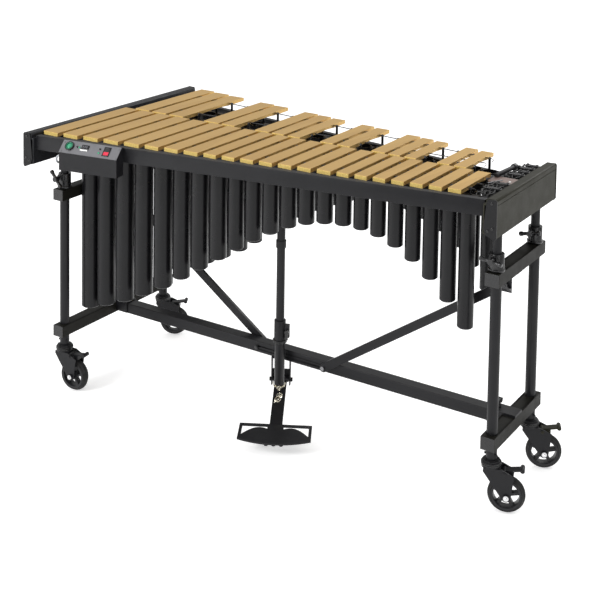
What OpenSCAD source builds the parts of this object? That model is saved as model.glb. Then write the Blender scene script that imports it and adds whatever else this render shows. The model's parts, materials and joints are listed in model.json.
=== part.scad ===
// Three-octave vibraphone on a rolling, height-adjustable stand.
// Millimetres. +X runs to the high notes, -Y is the player's side, +Z is up.
// The origin is on the floor, under the middle of the whole outline. The modules are drawn from
// the middle of the stretcher beam, and placed() moves each one to the origin.

/* [Overall size] */
// height of the bars' top face above the floor
top_z = 865; // [850:1:900]
// outside length over the two end boards
overall_len = 1480; // [1475:1:1500]
// front edge of the low-end board, measured from the beam's centre line
low_board_front = 405; // [400:1:420]
// back edge of the low-end board, measured from the beam's centre line
low_board_back = 417; // [412:1:430]
// front edge of the high-end board, measured from the beam's centre line
high_board_front = 195; // [192:1:205]
// back edge of the high-end board, measured from the beam's centre line
high_board_back = 225; // [218:1:235]

/* [Tone bars] */
// number of natural notes, from F to F
natural_count = 22; // [22]
// width of the lowest bars
bar_w_low = 57.15; // [56:0.05:57.5]
// width of the second group of bars
bar_w_tenor = 50.8; // [50:0.05:51]
// width of the third group of bars
bar_w_alto = 44.45; // [44:0.05:44.5]
// width of the highest bars
bar_w_high = 38.1; // [37:0.05:38.2]
// gap between neighbouring bars
bar_gap = 14.9; // [14.5:0.1:14.9]
// thickness of a bar at its ends
bar_t = 11.5; // [10:0.5:12]
// depth of the tuning arch cut under each bar
arch_depth = 3.4; // [2:0.2:4]

/* [Resonators] */
// outside diameter of the lowest tubes
tube_d_bass = 59; // [56:1:60]
// outside diameter of the low tubes
tube_d_low = 54; // [50:1:54]
// outside diameter of the middle tubes
tube_d_mid = 49; // [45:1:50]
// outside diameter of the high tubes
tube_d_high = 45; // [40:1:45]
// wall of every tube
tube_wall = 1.6; // [1.2:0.1:2]
// height of the highest tube bottom, at the top of the arch
arch_top_z = 684; // [660:1:700]
// how far the arch falls towards the low end
arch_low_drop = 438; // [380:1:440]

/* [Stand] */
// side of the square crossbar tubes
bar_side = 40; // [38:1:41]
// height of the crossbar tubes
crossbar_h = 36; // [34:1:38]
// underside of the lower crossbars
lower_z = 176; // [170:1:182]
// underside of the upper crossbars
upper_z = 621; // [610:1:625]
// outside diameter of the legs
leg_d = 30; // [29:0.5:31]
// clearance on the radius of every sliding or turning fit
run_gap = 0.07; // [0.03:0.01:0.1]

/* [Casters] */
// wheel diameter
wheel_d = 101.6; // [96:0.2:102]
// distance from the swivel axis back to the axle
caster_trail = 42; // [38:1:44]
// heading of the front low-end caster
yaw_front_low = 4; // [-30:1:30]
// heading of the front high-end caster
yaw_front_high = 20; // [-30:1:30]
// heading of the back low-end caster
yaw_back_low = 30; // [-30:1:30]
// heading of the back high-end caster
yaw_back_high = 26; // [-30:1:30]

/* [Pedal] */
// angle at which the pedal points away from straight ahead
pedal_yaw = 29; // [20:1:32]
// width of the foot plate
pedal_w = 215; // [180:1:230]
// slope of the pedal arm, down from level
pedal_slope = 17.5; // [16:0.5:19]

/* [Hidden] */
$fn = 64;
eps = 0.01;
// middle of the whole outline, measured from the beam's middle: the turned casters reach past the high end
outline_mid = [29.4, 2.75];
module placed() { translate([-outline_mid[0], -outline_mid[1], 0]) children(); }
half_len = overall_len / 2;

// colours
black_paint = [0.11, 0.11, 0.12];
board_grey = [0.27, 0.27, 0.25];
gold = [0.80, 0.64, 0.36];
steel = [0.75, 0.75, 0.76];
felt_black = [0.07, 0.07, 0.08];
plastic_black = [0.06, 0.06, 0.06];
panel_silver = [0.66, 0.66, 0.68];

// lines that the keyboard follows, as [y at x = 0, change of y with x]
slant = 0.149;
front_beam_line = [-290, slant];
back_beam_line = [286, -slant];
natural_front_line = [-254, slant];
natural_back_y = 31;
sharp_front_y = 39;
sharp_back_line = [310, -slant];
node_part = 0.224;
tube_line_natural = [-126, 0.085];
tube_line_sharp = [174.5, -0.0745];
function y_on(line, x) = line[0] + line[1] * x;
function line_angle(line) = atan(line[1]);
function mix_lines(a, b, t) = [a[0] + (b[0] - a[0]) * t, a[1] + (b[1] - a[1]) * t];
natural_back_line = [natural_back_y, 0];
sharp_front_line = [sharp_front_y, 0];
cord_lines = [
    mix_lines(natural_front_line, natural_back_line, node_part),
    mix_lines(natural_front_line, natural_back_line, 1 - node_part),
    mix_lines(sharp_front_line, sharp_back_line, node_part),
    mix_lines(sharp_front_line, sharp_back_line, 1 - node_part)];

// tone bars
bar_top = top_z;
bar_bottom = top_z - bar_t;
cord_z = bar_bottom + 5.5;
cord_d = 3.6;
cord_hole_d = 5.6;
low_group_end = 5;
tenor_group_end = 8;
alto_group_end = 15;
function bar_w(i) = i <= low_group_end ? bar_w_low
    : i <= tenor_group_end ? bar_w_tenor
    : i <= alto_group_end ? bar_w_alto : bar_w_high;
function keyboard_len(i) = i == 0 ? 0 : keyboard_len(i - 1) + bar_w(i) + bar_gap;
first_bar_x = -705.7;
function bar_left(i) = first_bar_x + keyboard_len(i - 1);
function bar_mid(i) = bar_left(i) + bar_w(i) / 2;
function gap_mid(i) = bar_left(i) + bar_w(i) + bar_gap / 2;
// a sharp follows natural i when i is F, G, A, C or D
function has_sharp(i) = let (n = i % 7) n == 1 || n == 2 || n == 3 || n == 5 || n == 6;
naturals = [1 : natural_count];
sharps = [for (i = [1 : natural_count - 1]) if (has_sharp(i)) i];
last_bar_x = bar_left(natural_count) + bar_w(natural_count);

// resonator tubes
tube_top = 838;
arch_peak = 15;
arch_half_span = 16;
arch_high_fall = 2.94;
arch_high_power = 2.23;
first_tube_limit = -667;
function tube_x(p) = max(first_tube_limit, p == floor(p) ? bar_mid(p) : gap_mid(floor(p)));
function tube_d(p) = p <= low_group_end + 0.6 ? tube_d_bass
    : p <= tenor_group_end + 0.6 ? tube_d_low
    : p <= alto_group_end + 0.4 ? tube_d_mid : tube_d_high;
function tube_bottom(p) = p < arch_peak
    ? arch_top_z - arch_low_drop / 2 * (1 - cos(180 * (arch_peak - p) / arch_half_span))
    : arch_top_z - arch_high_fall * pow(p - arch_peak, arch_high_power);
natural_tubes_at = [for (i = naturals) i];
sharp_tubes_at = [for (i = [1 : natural_count - 1]) i + 0.5];
fan_z = 806;
fan_t = 1.2;
fan_gap = 1.8;
shaft_d = 6;
plate_z = 786;
plate_t = 3;
plate_side = 8;

// keyboard frame
rail_w = 16;
rail_h = 16;
// underside of each inner rail: the rearmost one lies lower, level with the back beam
rail_z = [826, 826, 826, 800];
post_stem_d = [5, 5, 5, 8];
beam_t = 20;
front_beam_z = 814;
front_beam_h = 44;
back_beam_z = 772;
web_x = half_len - 39;
web_t = 3.5;
board_bottom = 763;
cap_in = half_len - 31;
cap_bottom = top_z - 14;
cap_top = top_z + 1;
cap_r = 6;
skin_t = 3.5;

// stand
crossbar_x = half_len - 2.4;
crossbar_in = crossbar_x - bar_side;
leg_x = crossbar_x - bar_side / 2;
leg_in = 29.7;
low_leg_y = 250;
high_leg_y = 134;
low_crossbar_half = 279.7;
high_crossbar_half = 163.7;
tube_t = 2.5;
post_d = 25.45;
leg_wall_d = post_d + 2 * run_gap;
leg_bottom = 144;
upper_top = upper_z + crossbar_h;
lower_top = lower_z + crossbar_h;
post_bottom = 380;
post_top = 840;
clamp_h = 48;
clamp_d = 40;
knob_z = upper_top + 36;
knob_stem = 17;
beam_z = 180.5;
beam_h = 34;
beam_w = 39;
legs_at = [[-leg_x, -low_leg_y], [leg_x, -high_leg_y], [-leg_x, low_leg_y], [leg_x, high_leg_y]];
yaws = [yaw_front_low, yaw_front_high, yaw_back_low, yaw_back_high];

// braces: bolt on the beam, slope and reach
brace_bolt_x = 124;
brace_bolt_z = 196;
brace_end_x = 702;
brace_end_z = 584;
brace_w = 25;
brace_t = 10;
brace_angle = atan((brace_end_z - brace_bolt_z) / (brace_end_x - brace_bolt_x));
brace_len = norm([brace_end_x - brace_bolt_x, brace_end_z - brace_bolt_z]);

// pedal and pull rod
pedal_at = [-45, 0, 106];
rod_at = [-20, -48];
sleeve_d = 31;
sleeve_bottom = 116;
sleeve_top = 318;
lug_turn = 20;
lug_screw_x = sleeve_d / 2 + 8;
lug_screw_z = 286;
rod_d = 25.4;
rod_bottom = 156;
rod_top = 792;
collar_z = 545;
collar_h = 22;
pin_d = 8;
arm_w = 38;
arm_t = 4;
arm_len = 166;
plate_depth = 80;
plate_bulge = 22;

// motor and controls
pulley_x = 640;
motor_at = [652, 34, 806];
motor_d = 46;
motor_len = 40;
pulley_r = 12;
pulley_w = 10;
flange_t = 1.2;
belt_w = 1.8;
box_left = -597;
box_len = 204;
box_bottom = 775;
box_depth = 38;

wheel_r = wheel_d / 2;
wheel_w = 32;
axle_d = 10;
lever_pivot = [36, 114];
lever_pin_d = 6;
lever_pad_z = -10.4;
fork_plate_y = 19.5;
fork_t = 3;

function arc_points(cx, cy, r, from, to, steps) =
    [for (k = [0 : steps]) let (a = from + (to - from) * k / steps) [cx + r * cos(a), cy + r * sin(a)]];

module rod_along_x(d, len) {
    rotate([0, 90, 0]) cylinder(d = d, h = len);
}

module rod_along_y(d, len) {
    rotate([-90, 0, 0]) cylinder(d = d, h = len);
}

module between_boards(reach = web_x) {
    intersection() {
        children();
        translate([-reach, -600, 0]) cube([2 * reach, 1200, 1000]);
    }
}

// a bar that follows a keyboard line, from the line's near side inwards
module line_beam(line, depth, z, h) {
    between_boards()
        translate([0, line[0], z])
            rotate([0, 0, line_angle(line)])
                translate([-800, 0, 0])
                    cube([1600, depth, h]);
}

module line_tube(line, depth, z, h, wall) {
    between_boards()
        translate([0, line[0], z])
            rotate([0, 0, line_angle(line)])
                difference() {
                    translate([-800, 0, 0]) cube([1600, depth, h]);
                    translate([-801, wall, wall]) cube([1602, depth - 2 * wall, h - 2 * wall]);
                }
}

/* ---------- stand ---------- */

module crossbar(half, z) {
    difference() {
        translate([-bar_side / 2, -half, z]) cube([bar_side, 2 * half, crossbar_h]);
        translate([-bar_side / 2 + tube_t, -half - 1, z + tube_t])
            cube([bar_side - 2 * tube_t, 2 * half + 2, crossbar_h - 2 * tube_t]);
        for (s = [-1, 1])
            translate([0, s * (half - leg_in), z - 1])
                cylinder(d = leg_d + 0.1, h = crossbar_h + 2);
    }
}

module crossbars() {
    color(black_paint)
        for (z = [lower_z, upper_z]) {
            translate([-leg_x, 0, 0]) crossbar(low_crossbar_half, z);
            translate([leg_x, 0, 0]) crossbar(high_crossbar_half, z);
        }
}

module plug() {
    lip = 2;
    translate([-bar_side / 2, -lip, 0]) cube([bar_side, lip, crossbar_h]);
    translate([-bar_side / 2 + tube_t + 0.1, 0, tube_t + 0.1])
        cube([bar_side - 2 * tube_t - 0.2, 8, crossbar_h - 2 * tube_t - 0.2]);
}

module tube_plugs() {
    color(plastic_black)
        for (z = [lower_z, upper_z])
            for (front = [0, 1]) mirror([0, 1 - front, 0]) {
                translate([-leg_x, -low_crossbar_half, z]) plug();
                translate([leg_x, -high_crossbar_half, z]) plug();
            }
}

module legs() {
    color(black_paint)
        for (p = legs_at)
            translate([p[0], p[1], leg_bottom])
                difference() {
                    cylinder(d = leg_d, h = upper_top + 1 - leg_bottom);
                    translate([0, 0, -1]) cylinder(d = leg_wall_d, h = 600);
                }
}

module stretcher_beam() {
    color(black_paint)
        difference() {
            translate([-crossbar_in, -beam_w / 2, beam_z]) cube([2 * crossbar_in, beam_w, beam_h]);
            translate([-crossbar_in - 1, -beam_w / 2 + tube_t, beam_z + tube_t])
                cube([2 * crossbar_in + 2, beam_w - 2 * tube_t, beam_h - 2 * tube_t]);
            for (s = [-1, 1])
                translate([s * brace_bolt_x, -beam_w / 2 - 1, brace_bolt_z])
                    rod_along_y(8.2, beam_w + 2);
        }
}

// steel saddle that ties one end of the beam to its crossbar
saddle_t = 4;
saddle_reach = 46;
beam_screw_x = crossbar_in - 22;
beam_top = beam_z + beam_h;
module beam_bracket() {
    difference() {
        union() {
            translate([crossbar_in - saddle_reach, -beam_w / 2 - saddle_t, beam_top])
                cube([saddle_reach + bar_side, beam_w + 2 * saddle_t, saddle_t]);
            // packing strip that fills the step down to the crossbar's top
            translate([crossbar_in, -beam_w / 2 - saddle_t, lower_top])
                cube([bar_side, beam_w + 2 * saddle_t, beam_top - lower_top + eps]);
            for (s = [0, 1]) mirror([0, s, 0])
                translate([crossbar_in - saddle_reach, beam_w / 2, beam_z + 2])
                    cube([saddle_reach, saddle_t, beam_h - 2 + eps]);
        }
        translate([beam_screw_x, 0, beam_top - 1]) cylinder(d = 8.4, h = saddle_t + 2);
    }
}

// hanger under an upper crossbar that holds the top end of a brace
brace_y = beam_w / 2 + 0.5;
hanger_y = brace_y + brace_t + 0.5;
module brace_hanger() {
    difference() {
        translate([brace_end_x - 18, hanger_y, brace_end_z - 20])
            cube([36, saddle_t, upper_z - brace_end_z + 20]);
        translate([brace_end_x, hanger_y - 1, brace_end_z]) rod_along_y(8.4, 8);
    }
    translate([brace_end_x - 4, hanger_y - 36, upper_z - saddle_t])
        cube([36, 36 + eps, saddle_t]);
}

module frame_brackets() {
    color(black_paint) {
        beam_bracket();
        mirror([1, 0, 0]) beam_bracket();
        mirror([0, 1, 0]) brace_hanger();
        mirror([1, 0, 0]) brace_hanger();
    }
}

// flat steel brace with rounded ends and a bolt hole at each end
module brace() {
    translate([brace_bolt_x, brace_y, brace_bolt_z])
        rotate([0, -brace_angle, 0])
            difference() {
                union() {
                    translate([0, 0, -brace_w / 2]) cube([brace_len, brace_t, brace_w]);
                    rod_along_y(brace_w, brace_t);
                    translate([brace_len, 0, 0]) rod_along_y(brace_w, brace_t);
                }
                translate([0, -1, 0]) rod_along_y(8.2, brace_t + 2);
                translate([brace_len, -1, 0]) rod_along_y(8.2, brace_t + 2);
            }
}

module braces() {
    color(black_paint) {
        mirror([0, 1, 0]) brace();
        mirror([1, 0, 0]) brace();
    }
}

bolt_d = 8;
bolt_head = 14;
head_h = 5.5;

// hexagon-headed bolt and nut that pinch a brace to the beam, head outside
module beam_bolt() {
    grip = brace_y + brace_t + beam_w / 2;
    translate([brace_bolt_x, brace_y + brace_t, brace_bolt_z]) rotate([0, 0, 180]) {
        rod_along_y(bolt_d, grip + head_h + 2);
        translate([0, -head_h, 0]) rotate([-90, 0, 0]) cylinder(d = bolt_head, h = head_h, $fn = 6);
        translate([0, grip, 0]) rotate([-90, 0, 0]) cylinder(d = bolt_head, h = head_h, $fn = 6);
    }
}

// bolt through a brace's top end and its hanger, with a wing nut outside
module hanger_bolt() {
    out_y = hanger_y + saddle_t;
    translate([brace_end_x, 0, brace_end_z]) {
        translate([0, brace_y - head_h, 0]) rod_along_y(bolt_head, head_h);
        translate([0, brace_y - 1, 0]) rod_along_y(bolt_d, out_y - brace_y + 12);
        translate([0, out_y, 0]) rod_along_y(18, 9);
        for (a = [35, 215]) rotate([0, a, 0]) translate([2, out_y + 2, -4]) cube([22, 7, 8]);
    }
}

// wing screw on top of a beam bracket
module beam_wing_screw() {
    translate([beam_screw_x, 0, beam_top + saddle_t]) {
        translate([0, 0, -saddle_t]) cylinder(d = bolt_d, h = saddle_t + 4);
        cylinder(d = 20, h = 8);
        translate([-5, -17, 8 - eps]) cube([10, 34, 12]);
        for (s = [-1, 1]) translate([-5, s * 17, 14]) rod_along_x(14, 10);
    }
}

module frame_bolts() {
    color(steel)
        for (s = [0, 1]) {
            mirror([s, 0, 0]) mirror([0, 1 - s, 0]) {
                beam_bolt();
                hanger_bolt();
            }
            mirror([s, 0, 0]) beam_wing_screw();
        }
}

// clamp collar over the top of a leg, with a lug for its T-screw on the player's side
module leg_clamp() {
    difference() {
        union() {
            translate([0, 0, upper_top + 1.1]) cylinder(d = clamp_d, h = clamp_h - 1.1);
            translate([0, 0, upper_top + 1.1]) cylinder(d = clamp_d + 5, h = 7);
            translate([-9, -clamp_d / 2 - 4, knob_z - 9]) cube([18, 14, 18]);
        }
        translate([0, 0, upper_top]) cylinder(d = post_d + 2 * run_gap, h = clamp_h + 10);
        translate([0, -clamp_d / 2 - 5, knob_z]) rod_along_y(8 + 2 * run_gap, 20);
        translate([-1, 0, upper_top]) cube([2, clamp_d, clamp_h + 10]);
    }
}

module leg_clamps() {
    color(plastic_black)
        for (p = legs_at) translate([p[0], p[1], 0]) leg_clamp();
}

// cross handle of a T-screw, along Z, thicker at its two ends
module cross_handle(half) {
    rotate_extrude()
        polygon([
            [0, -half], [4.5, -half], [6.5, -half + 2], [6.5, -half + 9], [5, -half + 12],
            [5, half - 12], [6.5, half - 9], [6.5, half - 2], [4.5, half], [0, half]]);
}

// T-screw: threaded stem, hub and cross handle
module t_screw(turn) {
    translate([0, -clamp_d / 2 - 4, knob_z]) {
        translate([0, -knob_stem, 0]) rod_along_y(8, knob_stem + 10);
        translate([0, -knob_stem - 6, 0]) rod_along_y(16, 16);
        translate([0, -knob_stem + 1.5, 0]) rotate([0, turn + 90, 0]) cross_handle(32);
    }
}

module clamp_knob(k, turn) {
    color(plastic_black) translate([legs_at[k][0], legs_at[k][1], 0]) t_screw(turn);
}
module clamp_knob_front_low() { clamp_knob(0, 50); }
module clamp_knob_front_high() { clamp_knob(1, 8); }
module clamp_knob_back_low() { clamp_knob(2, -40); }
module clamp_knob_back_high() { clamp_knob(3, -12); }

/* ---------- casters ---------- */

head_top = 142;
head_bottom = 122;
stem_d = 12;

// stem plug, bearing flange, swivel pin and two set screws under each leg
module caster_stem() {
    translate([0, 0, head_top + 2]) cylinder(d = leg_wall_d - 0.1, h = 50);
    translate([0, 0, head_top + 0.2]) cylinder(d = 40, h = 1.8);
    translate([0, 0, head_bottom - 6]) cylinder(d = stem_d, h = 28);
    translate([0, 0, head_bottom - 8]) cylinder(d = 19, h = 3);
    for (a = [200, 340])
        rotate([0, 0, a]) translate([leg_d / 2 + 0.05, 0, head_top + 15]) rod_along_x(7, 4);
}

module caster_stems() {
    color(black_paint)
        for (p = legs_at) translate([p[0], p[1], 0]) caster_stem();
}

// outline of one fork cheek in the x-z plane
fork_outline = concat(
    [[-20, head_bottom + 2], [-21, head_bottom - 6]],
    arc_points(caster_trail, wheel_r, 13, 205, 335, 12),
    [[caster_trail + 17, wheel_r + 34], [caster_trail + 20, head_bottom - 13], [30, head_bottom + 2]]);

module fork() {
    difference() {
        union() {
            translate([0, 0, head_bottom]) cylinder(d = 52, h = head_top - head_bottom - 4);
            translate([0, 0, head_top - 6]) cylinder(d = 46, h = 6);
            translate([-20, -fork_plate_y - fork_t, head_bottom - 4])
                cube([50, 2 * (fork_plate_y + fork_t), 4 + eps]);
            for (s = [-1, 1])
                translate([0, s > 0 ? fork_plate_y + fork_t : -fork_plate_y, 0])
                    rotate([90, 0, 0]) linear_extrude(fork_t) polygon(fork_outline);
        }
        translate([0, 0, head_bottom - 20]) cylinder(d = stem_d + 2 * run_gap, h = 60);
        translate([0, 0, head_bottom - 20]) cylinder(d = 19.4, h = 15.2);
        translate([caster_trail, -40, wheel_r]) rod_along_y(axle_d, 80);
        translate([26, -12.5, head_bottom - 30]) cube([40, 25, 60]);
        translate([lever_pivot[0], -40, lever_pivot[1]]) rod_along_y(lever_pin_d + 2 * run_gap, 80);
    }
    // bolts around the swivel head
    for (k = [0 : 5])
        rotate([0, 0, 60 * k + 30]) translate([22.5, 0, head_top - 4]) cylinder(d = 5, h = 2.2);
    // axle bolt and nut
    translate([caster_trail, -fork_plate_y - fork_t - 1, wheel_r]) {
        rod_along_y(axle_d - 0.02, 2 * (fork_plate_y + fork_t) + 2);
        translate([0, -5, 0]) rod_along_y(15, 6);
        translate([0, 2 * (fork_plate_y + fork_t) + 1, 0]) rod_along_y(15, 6);
    }
}

spoke_count = 5;
rim_r = 41;

// moulded wheel core with open windows, and the tyre bonded to it
module wheel() {
    translate([caster_trail, 0, wheel_r]) rotate([90, 0, 0]) {
        difference() {
            union() {
                translate([0, 0, -17]) cylinder(r = 13, h = 34);
                difference() {
                    translate([0, 0, -14]) cylinder(r = rim_r, h = 28);
                    translate([0, 0, -15]) cylinder(r = rim_r - 6, h = 30);
                }
                for (k = [0 : spoke_count - 1])
                    rotate([0, 0, 360 * k / spoke_count + 12])
                        translate([10, -4, -8]) cube([rim_r - 14, 8, 16]);
            }
            translate([0, 0, -20]) cylinder(d = axle_d + 2 * run_gap, h = 40);
        }
        rotate_extrude()
            polygon(concat(
                [[rim_r, -wheel_w / 2 + 3], [rim_r, wheel_w / 2 - 3], [wheel_r - 7, wheel_w / 2 - 2]],
                arc_points(wheel_r - 10, 0, 10, 60, -60, 8),
                [[wheel_r - 7, -wheel_w / 2 + 2]]));
    }
}

// foot lever of the wheel brake: pin through both cheeks, barrel, arm, toe and brake pad
module brake_lever() {
    pin_half = fork_plate_y + fork_t + 0.2;
    translate([lever_pivot[0], 0, lever_pivot[1]]) {
        translate([0, -pin_half, 0]) rod_along_y(lever_pin_d, 2 * pin_half);
        for (s = [0, 1]) mirror([0, s, 0]) translate([0, pin_half, 0]) rod_along_y(9, 2);
        translate([0, -12, 0]) rod_along_y(10, 24);
        rotate([0, -9, 0]) {
            translate([0, -10, -1]) cube([48, 20, 5]);
            translate([48, -13, 1.5]) rod_along_y(12, 26);
        }
        translate([8, -9, lever_pad_z]) cube([16, 18, 3 - lever_pad_z]);
    }
}

module at_caster(k) {
    translate([legs_at[k][0], legs_at[k][1], 0]) rotate([0, 0, yaws[k]]) children();
}
module fork_front_low() { color(black_paint) at_caster(0) fork(); }
module fork_front_high() { color(black_paint) at_caster(1) fork(); }
module fork_back_low() { color(black_paint) at_caster(2) fork(); }
module fork_back_high() { color(black_paint) at_caster(3) fork(); }
module wheel_front_low() { color(plastic_black) at_caster(0) wheel(); }
module wheel_front_high() { color(plastic_black) at_caster(1) wheel(); }
module wheel_back_low() { color(plastic_black) at_caster(2) wheel(); }
module wheel_back_high() { color(plastic_black) at_caster(3) wheel(); }
module brake_front_low() { color(black_paint) at_caster(0) brake_lever(); }
module brake_front_high() { color(black_paint) at_caster(1) brake_lever(); }
module brake_back_low() { color(black_paint) at_caster(2) brake_lever(); }
module brake_back_high() { color(black_paint) at_caster(3) brake_lever(); }

/* ---------- keyboard frame ---------- */

module posts() {
    color(steel)
        for (p = legs_at)
            translate([p[0], p[1], post_bottom])
                difference() {
                    cylinder(d = post_d, h = post_top - post_bottom);
                    translate([0, 0, -1]) cylinder(d = post_d - 4, h = post_top - post_bottom + 2);
                }
}

// section of an end board: rounded cap, outer skin, inner web and floor
module board_section() {
    difference() {
        union() {
            for (x = [cap_in + cap_r, half_len - cap_r]) translate([x, cap_top - cap_r]) circle(r = cap_r);
            translate([cap_in + cap_r, cap_top - cap_r]) square([half_len - cap_in - 2 * cap_r, cap_r]);
            translate([cap_in, cap_bottom]) square([half_len - cap_in, cap_top - cap_r - cap_bottom]);
            translate([web_x, cap_bottom - 4]) square([half_len - 1.5 - web_x, 4 + eps]);
            translate([half_len - skin_t - 0.5, board_bottom]) square([skin_t, cap_bottom - board_bottom - 2]);
            translate([web_x, board_bottom + 8]) square([web_t, cap_bottom - board_bottom - 8]);
            polygon([
                [web_x, board_bottom + 12], [web_x, board_bottom + 8], [half_len - 10, board_bottom],
                [half_len - 1, board_bottom], [half_len - 1, board_bottom + 4], [half_len - 10, board_bottom + 4]]);
        }
        translate([cap_in + 4, cap_bottom + 3]) square([half_len - cap_in - 8, 7]);
    }
}

module end_board(front, back, leg_y) {
    difference() {
        translate([0, back, 0]) rotate([90, 0, 0]) linear_extrude(front + back) board_section();
        for (s = [-1, 1])
            translate([leg_x, s * leg_y, board_bottom - 5]) cylinder(d = post_d + 0.1, h = 30);
    }
}

module end_board_low() {
    color(board_grey) mirror([1, 0, 0]) end_board(low_board_front, low_board_back, low_leg_y);
}

module end_board_high() {
    color(board_grey) end_board(high_board_front, high_board_back, high_leg_y);
}

plate_outline = [
    [half_len + 1, top_z - 3], [half_len + 1, board_bottom + 2], [half_len - 4, board_bottom - 5],
    [half_len - 30, board_bottom + 6], [half_len - 36, board_bottom + 24], [half_len - 29, top_z - 12],
    [half_len - 26, top_z - 1], [half_len - 3, top_z + 1]];
plate_screws = [[-14, 92], [-11, 26], [-24, 18]];

module end_plate() {
    rotate([90, 0, 0]) linear_extrude(3) polygon(plate_outline);
}

module four_board_ends() {
    translate([0, -high_board_front, 0]) children();
    translate([0, high_board_back + 3, 0]) children();
    mirror([1, 0, 0]) {
        translate([0, -low_board_front, 0]) children();
        translate([0, low_board_back + 3, 0]) children();
    }
}

module end_plates() {
    color(black_paint) four_board_ends() end_plate();
}

module end_screw(front) {
    for (s = plate_screws)
        translate([half_len + s[0], front ? -5 : 0, board_bottom + s[1]]) rod_along_y(8, 2);
}

module end_screws() {
    color(plastic_black) {
        translate([0, -high_board_front, 0]) end_screw(true);
        translate([0, high_board_back + 3, 0]) end_screw(false);
        mirror([1, 0, 0]) {
            translate([0, -low_board_front, 0]) end_screw(true);
            translate([0, low_board_back + 3, 0]) end_screw(false);
        }
    }
}

// front and back beams, and the four solid rails that carry the cord posts
module keyboard_rails() {
    color(black_paint) {
        line_tube(front_beam_line, beam_t, front_beam_z, front_beam_h, 2);
        line_tube(back_beam_line, beam_t, back_beam_z, front_beam_h, 2);
        for (k = [0 : 3])
            translate([0, -rail_w / 2, 0]) line_beam(cord_lines[k], rail_w, rail_z[k], rail_h);
    }
}

// one cord post on rail k: stem on the rail and an eye around the cord
module cord_post(x, k) {
    eye_d = 8.4;
    line = cord_lines[k];
    foot_z = rail_z[k] + rail_h;
    translate([x, y_on(line, x), 0]) rotate([0, 0, line_angle(line)]) {
        translate([0, 0, foot_z]) cylinder(d = post_stem_d[k], h = cord_z - eye_d / 2 - foot_z + 1.2, $fn = 24);
        translate([-2.5, 0, cord_z])
            difference() {
                rod_along_x(eye_d, 5);
                translate([-1, 0, 0]) rod_along_x(cord_d + 0.4, 7);
            }
    }
}

natural_post_x = concat([for (i = [1 : natural_count - 1]) gap_mid(i)], [last_bar_x + bar_gap / 2]);
function sharp_left(i) = gap_mid(i) - bar_w(i) / 2;
function sharp_right(i) = gap_mid(i) + bar_w(i) / 2;
function next_is_sharp(i) = i < natural_count - 1 && has_sharp(i + 1);
function last_is_sharp(i) = i > 1 && has_sharp(i - 1);
sharp_post_x = concat(
    [for (i = sharps) if (!last_is_sharp(i)) sharp_left(i) - bar_gap / 2],
    [for (i = sharps) next_is_sharp(i) ? (sharp_right(i) + sharp_left(i + 1)) / 2 : sharp_right(i) + bar_gap / 2]);

module cord_posts() {
    color(plastic_black) {
        for (k = [0, 1]) for (x = natural_post_x) cord_post(x, k);
        for (k = [2, 3]) for (x = sharp_post_x) cord_post(x, k);
    }
}

// the cords run through the bars' holes and the posts' eyes
module cord(line, from, to) {
    translate([from, y_on(line, from), cord_z])
        rotate([0, 0, line_angle(line)])
            rod_along_x(cord_d, (to - from) / cos(line_angle(line)));
}

module cords() {
    color(plastic_black) {
        for (k = [0, 1]) cord(cord_lines[k], -704, last_bar_x + bar_gap);
        for (k = [2, 3]) cord(cord_lines[k], -690, sharp_right(natural_count - 2) + bar_gap);
    }
}

/* ---------- tone bars ---------- */

// a bar from y0 to y1 with a tuning arch below and a cord hole near each nodal line
module tone_bar(x, w, y0, y1, line_a, line_b) {
    len = y1 - y0;
    soft = 1.2;
    steps = 10;
    arch = [for (k = [1 : steps - 1]) let (t = k / steps)
        [len * (0.25 + 0.5 * t), arch_depth * 4 * t * (1 - t)]];
    difference() {
        translate([x, y0, bar_bottom])
            rotate([90, 0, 90])
                linear_extrude(w)
                    polygon(concat(
                        [[0, 0], [len * 0.25, 0]], arch, [[len * 0.75, 0], [len, 0]],
                        [[len, bar_t - soft], [len - soft, bar_t], [soft, bar_t], [0, bar_t - soft]]));
        for (line = [line_a, line_b])
            translate([x + w / 2, y_on(line, x + w / 2), cord_z])
                rotate([0, 0, line_angle(line)])
                    translate([-w, 0, 0]) rod_along_x(cord_hole_d, 2 * w);
    }
}

module natural_bars() {
    color(gold)
        for (i = naturals)
            tone_bar(bar_left(i), bar_w(i), y_on(natural_front_line, bar_mid(i)), natural_back_y,
                cord_lines[0], cord_lines[1]);
}

module accidental_bars() {
    color(gold)
        for (i = sharps)
            tone_bar(sharp_left(i), bar_w(i), sharp_front_y, y_on(sharp_back_line, gap_mid(i)),
                cord_lines[2], cord_lines[3]);
}

/* ---------- resonators ---------- */

module at_tube(line, p) {
    translate([tube_x(p), y_on(line, tube_x(p)), 0]) children();
}

module resonator(line, p) {
    d = tube_d(p);
    at_tube(line, p)
        difference() {
            translate([0, 0, tube_bottom(p)]) cylinder(d = d, h = tube_top - tube_bottom(p));
            translate([0, 0, tube_bottom(p) - 1]) cylinder(d = d - 2 * tube_wall, h = 700);
            rotate([0, 0, line_angle(line)])
                translate([-d, 0, fan_z]) rod_along_x(shaft_d + 2 * run_gap, 2 * d);
        }
}

module natural_tubes() {
    color(black_paint) for (p = natural_tubes_at) resonator(tube_line_natural, p);
}

module accidental_tubes() {
    color(black_paint) for (p = sharp_tubes_at) resonator(tube_line_sharp, p);
}

// rounded plug that closes the bottom of a tube
module tube_cap(line, p) {
    r = tube_d(p) / 2 - tube_wall - 0.05;
    at_tube(line, p)
        translate([0, 0, tube_bottom(p)])
            rotate_extrude()
                polygon(concat([[0, -4], [r - 5, -4]], arc_points(r - 4, 0, 4, -75, 0, 5), [[r, 8], [0, 8]]));
}

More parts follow.
